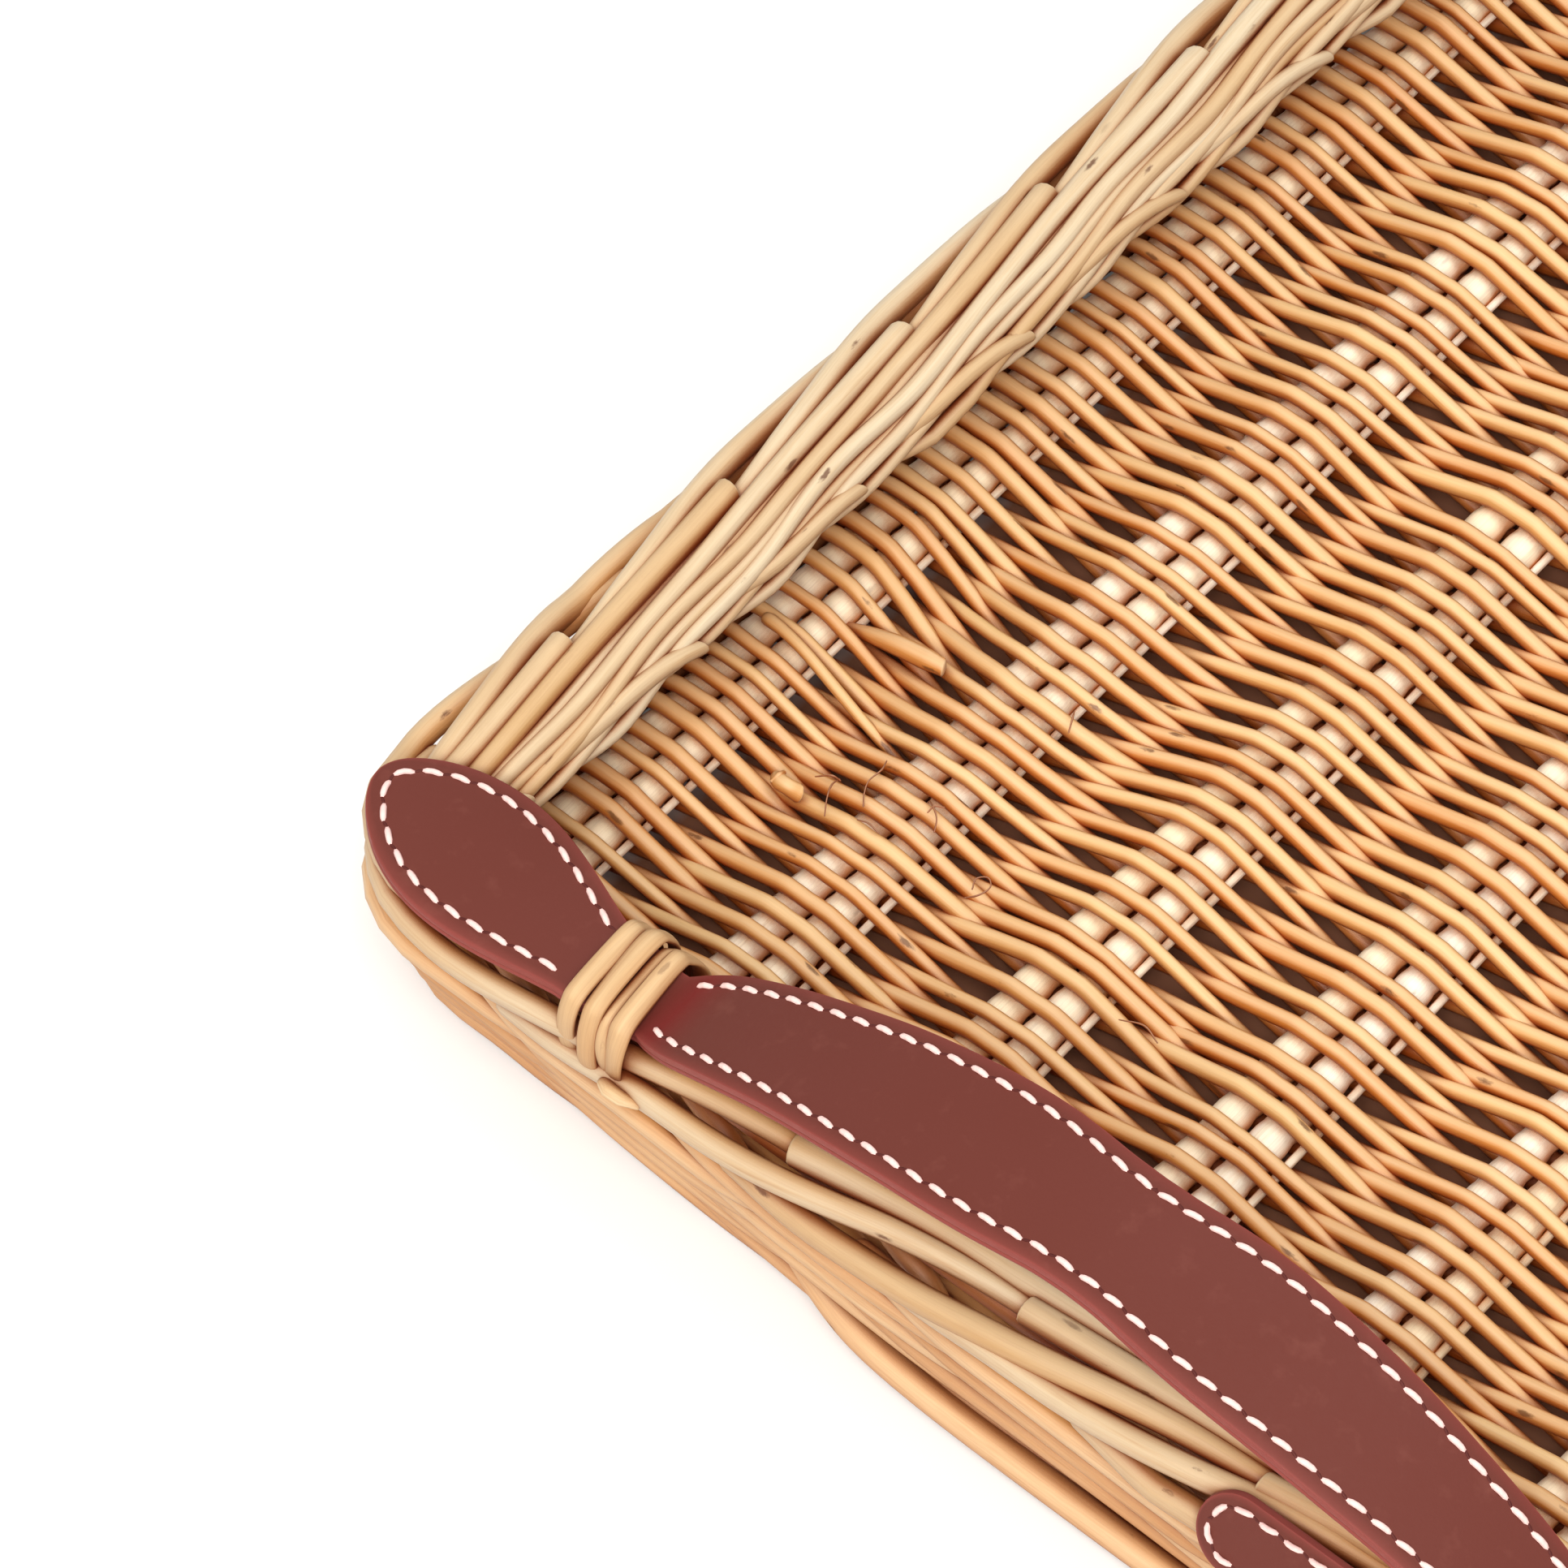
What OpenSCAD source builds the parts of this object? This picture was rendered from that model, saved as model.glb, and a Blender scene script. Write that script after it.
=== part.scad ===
// Low rectangular willow tray basket with two stitched leather handles.
// Millimetres, +Z up, +Y along the long side.
// The origin is the middle of the footprint, on the plane that the tray rests on.

/* [Tray] */
// Outer width of the rim, across the sides that carry the handles
tray_w = 327; // [285:1:420]
// Outer length of the rim
tray_l = 478; // [330:1:620]
// Radius of the rim's middle line at the corners
corner_r = 13; // [12:0.5:24]
// Running clearance between woven rods
weave_gap = 0.15; // [0.1:0.05:0.3]

/* [Floor] */
// Thickness of a floor stick
stick_d = 7.2; // [5:0.1:9]
// Gap between the two sticks of a pair
pair_gap = 0.6; // [0.3:0.1:2]
// Number of stick pairs
pair_count = 8; // [5:1:9]
// Distance from the rim's outer edge to the middle of the first stick
edge_inset = 12.6; // [12.2:0.1:14]
// Thickness of a floor weft
weft_t = 3.6; // [2.5:0.1:4.5]
// Width of a floor weft
weft_w = 2.6; // [2:0.1:4.5]
// Space between neighbouring floor wefts
weft_space = 0.2; // [0.1:0.05:1]

/* [Wall] */
// Thickness of an upright stake
stake_d = 4.2; // [3:0.1:4.4]
// Largest spacing of the stakes on the long sides
stake_pitch = 42.9; // [30:0.1:60]
// Gap between a stake and the stick pair that it stands beside
stake_side_gap = 0.3; // [0.2:0.1:2]
// Distance from the rim's middle line out to the stakes
wall_out = 5.2; // [4.9:0.1:5.4]
// Distance by which the walls of the short sides lean in at their foot
end_lean = 6.5; // [0:0.5:7]
// Thickness of a wall strand
strand_t = 3.3; // [2:0.1:3.6]
// Height of a wall strand
strand_h = 4.15; // [3:0.05:5]
// Gap between two rows of strands
row_gap = 0.2; // [0.1:0.05:0.4]
// Rows that pass outside the stakes, beside the floor
foot_rows = 4; // [4:1:5]
// Rows woven in and out of the stakes
woven_rows = 4; // [2:1:7]
// Thickness of a corner post
post_d = 6; // [4:0.1:7]

/* [Border] */
// Thickness of a border rod
rod_d = 4.9; // [4:0.1:4.9]
// Radius of the arch that the border rods lie on
dome_r = 9.6; // [9.6:0.1:10.5]
// Rods over the arch
dome_rods = 6; // [5:1:6]
// Angle of the lowest rod above the arch's spring line
dome_start = 12.5; // [12:0.5:16]
// Distance of each core rod from the border's middle line
core_side = 3.2; // [2.6:0.1:3.8]
// Slot between the wall and the border, where the lashings pass
lash_slot = 2; // [1.9:0.1:4]

/* [Handle] */
// Distance between the middles of the two lashings
handle_span = 200; // [150:1:210]
// Rise of the grip's underside above the rim
grip_rise = 29.6; // [22:0.5:45]
// Widest part of the grip
grip_w = 29; // [22:0.5:34]
// Width of the strap under a lashing
neck_w = 17.4; // [14:0.2:18]
// Thickness of the outer leather
leather_t = 1.8; // [1.2:0.1:2.5]
// Thickness of the leather lining
lining_t = 1.2; // [0.8:0.1:1.6]
// Clearance under the strap, and between its parts
strap_gap = 0.2; // [0.1:0.05:0.3]
// Length of strap between a lashing and the place where the grip bends
neck_len = 6; // [6:0.5:10]
// Length of a leaf-shaped end beyond its lashing
leaf_len = 52; // [35:0.5:53]
// Widest part of a leaf
leaf_w = 28; // [22:0.5:32]
// Angle by which a leaf turns in towards the tray
leaf_turn = 8; // [0:0.5:9]

/* [Lashing] */
// Turns of willow skein in a lashing
lash_turns = 4; // [3:1:5]
// Width of one turn
lash_w = 3.9; // [3:0.1:4.5]
// Thickness of the skein
lash_t = 1.4; // [1:0.1:1.6]

/* [Stitching] */
// Thickness of the thread
thread_d = 0.9; // [0.6:0.05:1.2]
// Distance of the stitches from the leather's edge
stitch_inset = 3; // [2:0.1:4]
// Length of one stitch
stitch_len = 3.5; // [2.5:0.1:4]
// Distance from one stitch to the next
stitch_pitch = 4.8; // [4.4:0.1:6]

/* [Tag] */
// Length of the leather tag
tag_l = 40; // [30:1:60]
// Height of the leather tag
tag_h = 15; // [12:0.5:17]
// Thickness of the tag
tag_t = 1.8; // [1.2:0.1:2.5]
// Distance of the tag's middle from the middle of the front side
tag_shift = 48; // [22:1:58]

/* [Hidden] */
$fn = 48;
SIDES = ["front", "right", "back", "left"];
CORNERS = ["back_right", "back_left", "front_left", "front_right"];
HANDLE_PARTS = ["grip", "grip_lining", "leaf_left", "leaf_left_lining", "leaf_right",
    "leaf_right_lining", "lashing_left", "lashing_right", "grip_stitching", "leaf_stitching"];

// Border and rim
rod_r = rod_d / 2;
dome_half = dome_r * cos(dome_start) + rod_r;
rim_x = tray_w / 2 - dome_half;
rim_y = tray_l / 2 - dome_half;
run_x = rim_x - corner_r;
run_y = rim_y - corner_r;
row_pitch = strand_h + row_gap;
wall_top = (foot_rows + woven_rows) * row_pitch - row_gap;
side_rod_z = wall_top + lash_slot + rod_r;
dome_z = side_rod_z - dome_r * sin(dome_start);
dome_step = (180 - 2 * dome_start) / (dome_rods - 1);
dome_angles = [for (k = [0:dome_rods - 1]) dome_start + k * dome_step];
dome_top = max([for (a = dome_angles) sin(a)]);
rim_top = dome_z + dome_r * dome_top + rod_r;
core_z = side_rod_z - row_gap / 2;
stake_top = wall_top + lash_slot - 2 * weave_gap;

// Floor
floor_z = weft_t + 2 * weave_gap + stick_d / 2;
pair_step = stick_d + pair_gap;
first_stick = -tray_w / 2 + edge_inset;
pair_pitch = (-2 * first_stick - pair_step) / (pair_count - 1);
weft_swing = stick_d / 2 + weave_gap + weft_t / 2;
weft_pitch = weft_w + weft_space;
weft_flat = pair_step / 2 + weft_t / 2;
floor_top = floor_z + weft_swing + weft_t / 2;

// Wall
stake_r = stake_d / 2;
strand_swing = stake_r + weave_gap + strand_t / 2;
wall_reach = wall_out + strand_swing;
stake_flat = stake_r + strand_t / 2;
lean_turn = atan(end_lean / wall_top);
lean_slack = strand_h / 2 * tan(lean_turn) + stake_r * (1 / cos(lean_turn) - 1);
end_out = wall_out - lean_slack;
post_foot = floor_top + row_gap + post_d / 2 * sin(lean_turn);
post_head = stake_top - post_d / 2 * sin(lean_turn);
end_foot = row_gap + stake_r * sin(lean_turn);
end_head = stake_top - stake_r * sin(lean_turn);
weft_end = rim_x + wall_out - stake_r - weave_gap;
weft_reach = min(rim_y + end_out - stake_r - lean_slack - end_lean,
    run_y - row_lean(0) + sqrt(pow(corner_r + wall_reach - strand_t / 2, 2)
        - pow(weft_end - run_x, 2))) - weave_gap;
weft_count = floor(2 * weft_reach / weft_pitch);
stake_beside = pair_step / 2 + stick_d / 2 + stake_side_gap + stake_r;
pair_places = [for (k = [0:pair_count - 1]) first_stick + pair_step / 2 + k * pair_pitch];
end_stakes = [for (x = pair_places)
    let (s = x + (x < 0 ? -1 : 1) * stake_beside) if (abs(s) < run_x - stake_flat) s];
long_bays = ceil(2 * run_y / stake_pitch);
side_stakes = [for (k = [0:long_bays - 1]) -run_y + (k + 0.5) * 2 * run_y / long_bays];

// Handle
strap_t = leather_t + lining_t + strap_gap / 4;
lash_pitch = lash_w + strap_gap;
lash_half = lash_turns * lash_pitch / 2;
arch_half = handle_span / 2 - lash_half;
arch_r = (pow(arch_half, 2) + pow(grip_rise, 2)) / (2 * grip_rise);
arch_z = strap_gap + grip_rise - arch_r;
grip_half = arch_half - neck_len;
strap_top = strap_gap + strap_t;
sheet_top = arch_r + strap_t + thread_d / 2 + strap_gap / 4;
outline_steps = 24;
leaf_start = handle_span / 2 + lash_half;
fold_lap = leather_t / 9;

// Tag
tag_angle = dome_angles[0] + dome_step / 2;
tag_seat = dome_r * cos(dome_step / 2) + rod_r + strap_gap;

// How far the wall of a short side stands in from the rim at a height, or in a row
function lean_at(z) = end_lean * (1 - z / wall_top);
function row_lean(row) = lean_at(row * row_pitch + strand_h / 2);

// A straight round rod between two points
module rod(p, q, d) {
    v = q - p;
    translate(p)
        rotate([0, acos(v[2] / norm(v)), atan2(v[1], v[0])])
            cylinder(d = d, h = norm(v));
}

// A strip that follows points [along, across], with a thickness across
function strip(points, t) = concat(
    [for (p = points) p + [0, t / 2]],
    [for (k = [len(points) - 1:-1:0]) points[k] - [0, t / 2]]);

// Distance along a line of points, and the point at such a distance
function reach(points, k) = k == 0 ? 0 : reach(points, k - 1) + norm(points[k] - points[k - 1]);
function at_reach(points, d, k = 1) =
    let (step = norm(points[k] - points[k - 1]))
    d <= step || k == len(points) - 1
        ? points[k - 1] + (points[k] - points[k - 1]) * d / step
        : at_reach(points, d - step, k + 1);

// A row of stitches laid on a line of points
module stitch_row(points) {
    length = reach(points, len(points) - 1);
    count = floor(length / stitch_pitch);
    start = (length - (count - 1) * stitch_pitch - stitch_len) / 2;
    for (k = [0:count - 1])
        rod(at_reach(points, start + k * stitch_pitch),
            at_reach(points, start + k * stitch_pitch + stitch_len), thread_d);
}

// One side of the tray in its own frame: +X along the side, +Y outwards
module on_side(side) {
    turn = side == "front" ? 180 : side == "right" ? -90 : side == "back" ? 0 : 90;
    out = side == "front" || side == "back" ? rim_y : rim_x;
    rotate(turn) translate([0, out, 0]) children();
}

function is_end(side) = side == "front" || side == "back";
function side_run(side) = is_end(side) ? run_x : run_y;
function stakes_of(side) = is_end(side) ? end_stakes : side_stakes;

// One corner in its own frame, moved in with the short side's wall and turned so that
// the arc runs from +X to +Y
module on_corner(corner, lean = 0) {
    quarter = search([corner], CORNERS)[0];
    flip = quarter == 1 || quarter == 2 ? -1 : 1;
    rise = quarter == 2 || quarter == 3 ? -1 : 1;
    translate([flip * run_x, rise * (run_y - lean), 0]) rotate(quarter * 90) children();
}

// Half the length of a floor stick: it ends behind the lowest strands, also round a corner
function stick_half(x) =
    let (past = abs(x) + stick_d / 2 - run_x)
    (past <= 0 ? rim_y + wall_out + stake_r
        : run_y + sqrt(pow(corner_r + wall_out + stake_r, 2) - pow(past, 2))) - row_lean(0);

// Pairs of thick sticks, the length of the tray
module floor_sticks() {
    color("wheat")
        for (place = pair_places, s = [-1, 1]) {
            x = place + s * pair_step / 2;
            translate([x, stick_half(x), floor_z])
                rotate([90, 0, 0]) cylinder(d = stick_d, h = 2 * stick_half(x));
        }
}

// A weft rides over and under the pairs in turn, and starts over or under the first
module wefts(start) {
    line = [for (k = [0:pair_count - 1], e = [-1, 1])
        let (edge = k == 0 && e < 0 ? -weft_end : k == pair_count - 1 && e > 0 ? weft_end
            : pair_places[k] + e * weft_flat)
        [edge, start * (k % 2 == 0 ? 1 : -1) * weft_swing]];
    color("burlywood")
        for (k = [(start > 0 ? 0 : 1):2:weft_count - 1])
            translate([0, (k - (weft_count - 1) / 2) * weft_pitch + weft_w / 2, floor_z])
                rotate([90, 0, 0])
                    linear_extrude(weft_w) polygon(strip(line, weft_t));
}

// Uprights that tie the floor, the wall and the border together
module stakes(side) {
    color("wheat")
        on_side(side)
            for (s = stakes_of(side))
                if (is_end(side)) rod([s, end_out - lean_at(end_foot), end_foot],
                    [s, end_out - lean_at(end_head), end_head], stake_d);
                else rod([s, wall_out, row_gap], [s, wall_out, stake_top], stake_d);
}

// Rows of strands: the lower ones outside the stakes, the upper ones in and out
module wall(side) {
    places = stakes_of(side);
    line = is_end(side) ? end_out : wall_out;
    color("tan")
        on_side(side)
            for (row = [0:foot_rows + woven_rows - 1]) {
                sign = row % 2 == 0 ? 1 : -1;
                half = side_run(side) - weave_gap - (is_end(side) ? 0 : row_lean(row));
                straight = [[-half, wall_reach], [half, wall_reach]];
                woven = concat([[-half, wall_reach]],
                    [for (k = [0:len(places) - 1], e = [-1, 1])
                        [places[k] + e * stake_flat,
                            line + sign * (k % 2 == 0 ? 1 : -1) * (wall_reach - line)]],
                    [[half, wall_reach]]);
                translate([0, is_end(side) ? -row_lean(row) : 0, row * row_pitch])
                    linear_extrude(strand_h)
                        polygon(strip(row < foot_rows ? straight : woven, strand_t));
            }
}

// Rods of the border: six over the arch and two in its core
dome_places = [for (a = dome_angles) [dome_r * cos(a), dome_z + dome_r * sin(a)]];
core_places = [[-core_side, core_z], [core_side, core_z]];
border_places = concat(dome_places, core_places);

module border(side) {
    half = side_run(side) - weave_gap;
    color("moccasin")
        on_side(side)
            for (p = border_places)
                translate([-half, p[0], p[1]])
                    rotate([0, 90, 0]) cylinder(d = rod_d, h = 2 * half);
}

// Corner pieces: the post, the strands round it and the border rods above it
module corner_post(corner) {
    flip = search([corner], CORNERS)[0] % 3 == 0 ? 1 : -1;
    rise = search([corner], CORNERS)[0] < 2 ? 1 : -1;
    inset = (corner_r + wall_reach - strand_t / 2 - weave_gap - lean_slack - post_d / 2) * sin(45);
    color("wheat")
        rod([flip * (run_x + inset), rise * (run_y + inset - lean_at(post_foot)), post_foot],
            [flip * (run_x + inset), rise * (run_y + inset - lean_at(post_head)), post_head], post_d);
}

module corner_wall(corner) {
    color("tan")
        for (row = [0:foot_rows + woven_rows - 1])
            on_corner(corner, row_lean(row))
                translate([0, 0, row * row_pitch])
                    rotate_extrude(angle = 90)
                        translate([corner_r + wall_reach - strand_t / 2, 0]) square([strand_t, strand_h]);
}

module corner_border(corner) {
    color("moccasin")
        on_corner(corner)
            for (p = border_places)
                rotate_extrude(angle = 90)
                    translate([corner_r + p[0], p[1]]) circle(d = rod_d);
}

// Handles are drawn in a frame of their own: +X along the side, +Y into the tray,
// with the rim's top at zero height
module on_rim(end) {
    rotate(end == "front" ? 0 : 180) translate([0, -rim_y, rim_top]) children();
}

function grip_width(x) = neck_w / 2 + (grip_w - neck_w) / 2 * sqrt(1 - pow(x / arch_half, 2));
function leaf_width(t) =
    (neck_w / 2 + (leaf_w - neck_w) / 2 * sin(180 * pow(t, 1.1))) * sqrt(1 - pow(t, 4));

// Half of a leaf's edge, from the neck to the tip, moved in by an inset
function leaf_edge(inset) = [for (k = [0:outline_steps])
    let (t = sin(90 * k / outline_steps), shrink = 1 - inset / leaf_len)
    [t * leaf_len * shrink, max(0, leaf_width(t) - inset * (1 - pow(t, 6)))]];

// The whole outline of a leaf, tucked back into its neck
function leaf_outline() =
    let (edge = leaf_edge(0), tuck = neck_w / 2 - 3 * fold_lap)
    concat([[-neck_w / 4, tuck], [-neck_w / 4, -tuck]],
        [for (p = edge) [p[0], -p[1]]],
        [for (k = [outline_steps - 1:-1:0]) edge[k]]);

// One closed curve of the grip's plan outline between -half and half
function grip_outline(half, inset) = concat(
    [for (k = [-outline_steps:outline_steps])
        let (x = half * k / outline_steps) [x, grip_width(x) - inset]],
    [for (k = [outline_steps:-1:-outline_steps])
        let (x = half * k / outline_steps) [x, inset - grip_width(x)]]);

// A bent sheet of leather between two heights above the arch's underside
module arch_band(low, high) {
    translate([0, grip_w, arch_z])
        rotate([90, 0, 0])
            linear_extrude(2 * grip_w)
                difference() {
                    circle(r = arch_r + high, $fn = 96);
                    circle(r = arch_r + low, $fn = 96);
                }
}

module grip_sheet(end, low, high) {
    on_rim(end)
        intersection() {
            arch_band(low, high);
            linear_extrude(grip_rise + 2 * strap_top) polygon(grip_outline(grip_half, 0));
        }
}

// Where the arch's foot ends in a leaf: the lining folds a little inside the leather
function fold_end(low) = arch_half - fold_lap * (low > 0 ? 0.5 : 3);

// A leaf with its neck: flat under the lashing, then the foot of the arch
module leaf_sheet(end, side, low, high) {
    on_rim(end)
        mirror([side == "left" ? 1 : 0, 0, 0]) {
            translate([0, 0, strap_gap + low])
                linear_extrude(high - low) {
                    translate([fold_end(low) - fold_lap, -neck_w / 2])
                        square([leaf_start - fold_end(low) + fold_lap, neck_w]);
                    translate([leaf_start, 0]) rotate(leaf_turn) polygon(leaf_outline());
                }
            intersection() {
                arch_band(low, high);
                translate([grip_half + strap_gap, -grip_w / 2, 0])
                    cube([neck_len - strap_gap, grip_w, neck_len + strap_top]);
                linear_extrude(neck_len + strap_top) polygon(grip_outline(fold_end(low), 0));
            }
        }
}

module grip(end) {
    color("sienna") grip_sheet(end, lining_t + strap_gap / 4, strap_t);
}

module grip_lining(end) {
    color("brown") grip_sheet(end, 0, lining_t);
}

module leaf(end, side) {
    color("sienna") leaf_sheet(end, side, lining_t + strap_gap / 4, strap_t);
}

module leaf_lining(end, side) {
    color("brown") leaf_sheet(end, side, 0, lining_t);
}

// Loop of a lashing round the strap and the border, grown outwards by a margin
function lash_loop(grow) =
    let (top = strap_top + strap_gap, side = dome_half + strap_gap + grow,
        low = wall_top + lash_slot - strap_gap - rim_top - grow,
        shoulder = dome_z - rim_top + rod_d)
    [[neck_w / 2 + strap_gap, top + grow], [neck_w / 2 + strap_gap + 0.7 * grow, top + 0.7 * grow],
        [side, shoulder], [side, low + grow], [side - 0.3 * grow, low + 0.3 * grow], [side - grow, low]];

module lashing(end, side) {
    color("tan")
        on_rim(end)
            mirror([side == "left" ? 1 : 0, 0, 0])
                for (k = [0:lash_turns - 1])
                    translate([arch_half + k * lash_pitch + strap_gap / 2, 0, 0])
                        rotate([90, 0, 90])
                            linear_extrude(lash_w)
                                difference() {
                                    lash_shape(lash_t);
                                    lash_shape(0);
                                }
}

module lash_shape(grow) {
    loop = lash_loop(grow);
    polygon(concat(loop, [for (k = [len(loop) - 1:-1:0]) [-loop[k][0], loop[k][1]]]));
}

// Points of a stitch line on the arched grip, one line for each long edge
function grip_line(edge) = [for (k = [-outline_steps:outline_steps])
    let (turn = asin((grip_half - stitch_inset) / arch_r) * k / outline_steps)
    [sheet_top * sin(turn), edge * (grip_width(arch_r * sin(turn)) - stitch_inset),
        arch_z + sheet_top * cos(turn)]];

module grip_stitching(end) {
    color("mistyrose")
        on_rim(end)
            for (edge = [-1, 1]) stitch_row(grip_line(edge));
}

module leaf_stitching(end) {
    edge = leaf_edge(stitch_inset);
    height = strap_gap + sheet_top - arch_r;
    line = concat([for (p = edge) [p[0], p[1], height]],
        [for (k = [outline_steps - 1:-1:0]) [edge[k][0], -edge[k][1], height]]);
    color("mistyrose")
        on_rim(end)
            for (m = [0, 1])
                mirror([m, 0, 0])
                    translate([leaf_start + strap_gap, 0, 0]) rotate(leaf_turn) stitch_row(line);
}

// The tag lies on the outer shoulder of the front border
module on_shoulder() {
    on_side("front")
        translate([-tag_shift, 0, dome_z])
            rotate([tag_angle, 0, 0])
                translate([0, tag_seat, 0]) rotate([-90, 0, 0]) children();
}

module tag() {
    color("sienna")
        on_shoulder()
            linear_extrude(tag_t) {
                square([tag_l - tag_h, tag_h], center = true);
                for (s = [-1, 1]) translate([s * (tag_l - tag_h) / 2, 0]) circle(d = tag_h);
            }
}

module tag_stitching() {
    r = tag_h / 2 - stitch_inset;
    z = tag_t + thread_d / 2 + strap_gap / 4;
    half = (tag_l - tag_h) / 2;
    line = concat([for (a = [-90:15:90]) [half + r * cos(a), r * sin(a), z]],
        [for (a = [90:15:270]) [-half + r * cos(a), r * sin(a), z]], [[half, -r, z]]);
    color("mistyrose") on_shoulder() stitch_row(line);
}

floor_sticks();
wefts(1);  // wefts_odd
wefts(-1);  // wefts_even
stakes("front");  // stakes_front
stakes("right");  // stakes_right
stakes("back");  // stakes_back
stakes("left");  // stakes_left
wall("front");  // wall_front
wall("right");  // wall_right
wall("back");  // wall_back
wall("left");  // wall_left
border("front");  // border_front
border("right");  // border_right
border("back");  // border_back
border("left");  // border_left
corner_post("back_right");  // corner_post_back_right
corner_post("back_left");  // corner_post_back_left
corner_post("front_left");  // corner_post_front_left
corner_post("front_right");  // corner_post_front_right
corner_wall("back_right");  // corner_wall_back_right
corner_wall("back_left");  // corner_wall_back_left
corner_wall("front_left");  // corner_wall_front_left
corner_wall("front_right");  // corner_wall_front_right
corner_border("back_right");  // corner_border_back_right
corner_border("back_left");  // corner_border_back_left
corner_border("front_left");  // corner_border_front_left
corner_border("front_right");  // corner_border_front_right
grip("front");  // front_grip
grip_lining("front");  // front_grip_lining
leaf("front", "left");  // front_leaf_left
leaf_lining("front", "left");  // front_leaf_left_lining
leaf("front", "right");  // front_leaf_right
leaf_lining("front", "right");  // front_leaf_right_lining
lashing("front", "left");  // front_lashing_left
lashing("front", "right");  // front_lashing_right
grip_stitching("front");  // front_grip_stitching
leaf_stitching("front");  // front_leaf_stitching
grip("back");  // back_grip
grip_lining("back");  // back_grip_lining
leaf("back", "left");  // back_leaf_left
leaf_lining("back", "left");  // back_leaf_left_lining
leaf("back", "right");  // back_leaf_right
leaf_lining("back", "right");  // back_leaf_right_lining
lashing("back", "left");  // back_lashing_left
lashing("back", "right");  // back_lashing_right
grip_stitching("back");  // back_grip_stitching
leaf_stitching("back");  // back_leaf_stitching
tag();
tag_stitching();
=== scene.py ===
"""Low willow tray basket with two stitched leather handles, dressed round its fixed frame."""

import math
from itertools import accumulate

import bpy
import numpy as np
from bpy.props import FloatProperty, FloatVectorProperty, IntProperty, PointerProperty
from mathutils import Matrix, Vector


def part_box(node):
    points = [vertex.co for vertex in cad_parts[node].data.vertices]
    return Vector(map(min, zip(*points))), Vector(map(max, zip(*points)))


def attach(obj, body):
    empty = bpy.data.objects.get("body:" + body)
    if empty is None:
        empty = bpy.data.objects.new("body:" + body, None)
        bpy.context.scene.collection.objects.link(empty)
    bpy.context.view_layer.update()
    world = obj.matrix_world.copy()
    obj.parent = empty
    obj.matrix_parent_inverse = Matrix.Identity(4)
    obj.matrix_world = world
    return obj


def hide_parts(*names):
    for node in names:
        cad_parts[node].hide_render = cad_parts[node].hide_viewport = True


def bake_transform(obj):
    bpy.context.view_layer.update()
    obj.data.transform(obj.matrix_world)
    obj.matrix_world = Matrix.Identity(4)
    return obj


bl_info = {
    "name": "Willow Tray Basket",
    "version": (1, 0, 0),
    "blender": (4, 5, 0),
    "location": "View3D > Sidebar > Basket",
    "description": "Weaves a low willow tray with a rolled border and two leather handles",
    "category": "Add Mesh",
}

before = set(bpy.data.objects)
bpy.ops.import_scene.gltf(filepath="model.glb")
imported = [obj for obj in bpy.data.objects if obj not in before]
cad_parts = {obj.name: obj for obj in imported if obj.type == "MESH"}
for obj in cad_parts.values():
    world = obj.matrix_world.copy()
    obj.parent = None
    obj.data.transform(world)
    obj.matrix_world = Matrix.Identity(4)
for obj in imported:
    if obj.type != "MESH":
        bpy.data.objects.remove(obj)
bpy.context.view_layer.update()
MM = 0.001


def span(node, axis):
    """Lowest and highest place of a frame node along an axis, in millimetres."""
    low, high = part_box(node)
    return low[axis] / MM, high[axis] / MM


# Sizes that the frame gives, in millimetres, as all sizes are unless they say otherwise
RIM_X = sum(span("border_right", 0)) / 2
RIM_Y = sum(span("border_back", 1)) / 2
CORNER_R, OUTER_R = 13.0, 20.2
RUN_X, RUN_Y = RIM_X - CORNER_R, RIM_Y - CORNER_R
RIM_TOP = span("border_left", 2)[1]
WALL_TOP = span("wall_left", 2)[1]
STICK_LOW, STICK_HIGH = span("floor_sticks", 2)
STICK_R = (STICK_HIGH - STICK_LOW) / 2
FLOOR_Z = (STICK_LOW + STICK_HIGH) / 2
WEFT_ROOM = 2.15
WEFT_SWING = span("wefts_odd", 2)[1] - FLOOR_Z - WEFT_ROOM
FIRST_STICK = span("floor_sticks", 0)[0] + STICK_R
FIELD_Y = max(span("wefts_odd", 1)[1], span("wefts_even", 1)[1])

# Lengths along the rim, clockwise from the front end of the left side: left, back, right, front
ARC = CORNER_R * math.pi / 2
SIDE_ENDS = list(accumulate([2 * RUN_Y, ARC, 2 * RUN_X, ARC, 2 * RUN_Y, ARC, 2 * RUN_X]))[::2]
ARC_MIDDLES = [end + ARC / 2 for end in SIDE_ENDS]
PERIMETER = 4 * RUN_X + 4 * RUN_Y + 2 * math.pi * CORNER_R
BAYS = 35
BAY = PERIMETER / BAYS
END_STAKES = [30.9, 72.9, 114.9]

# Floor sticks and wefts
PAIRS = 8
PAIR_STEP = 7.8
PAIR_PITCH = (-2 * FIRST_STICK - PAIR_STEP) / (PAIRS - 1)
PAIR_PLACES = [FIRST_STICK + PAIR_STEP / 2 + k * PAIR_PITCH for k in range(PAIRS)]
WEFT_PITCH, WEFT_WIDTH = 2.8, 2.6
WEFT_ROWS = int(round((2 * FIELD_Y - WEFT_WIDTH) / WEFT_PITCH)) + 1
WEFT_END = 154.4

# Handle straps, from the middle of the grip
STITCH_PITCH = 4.8
GRIP_END, LEAF_START, LEAF_LEN, LEAF_TURN = 91.8, 108.2, 52.0, 6.8

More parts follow.
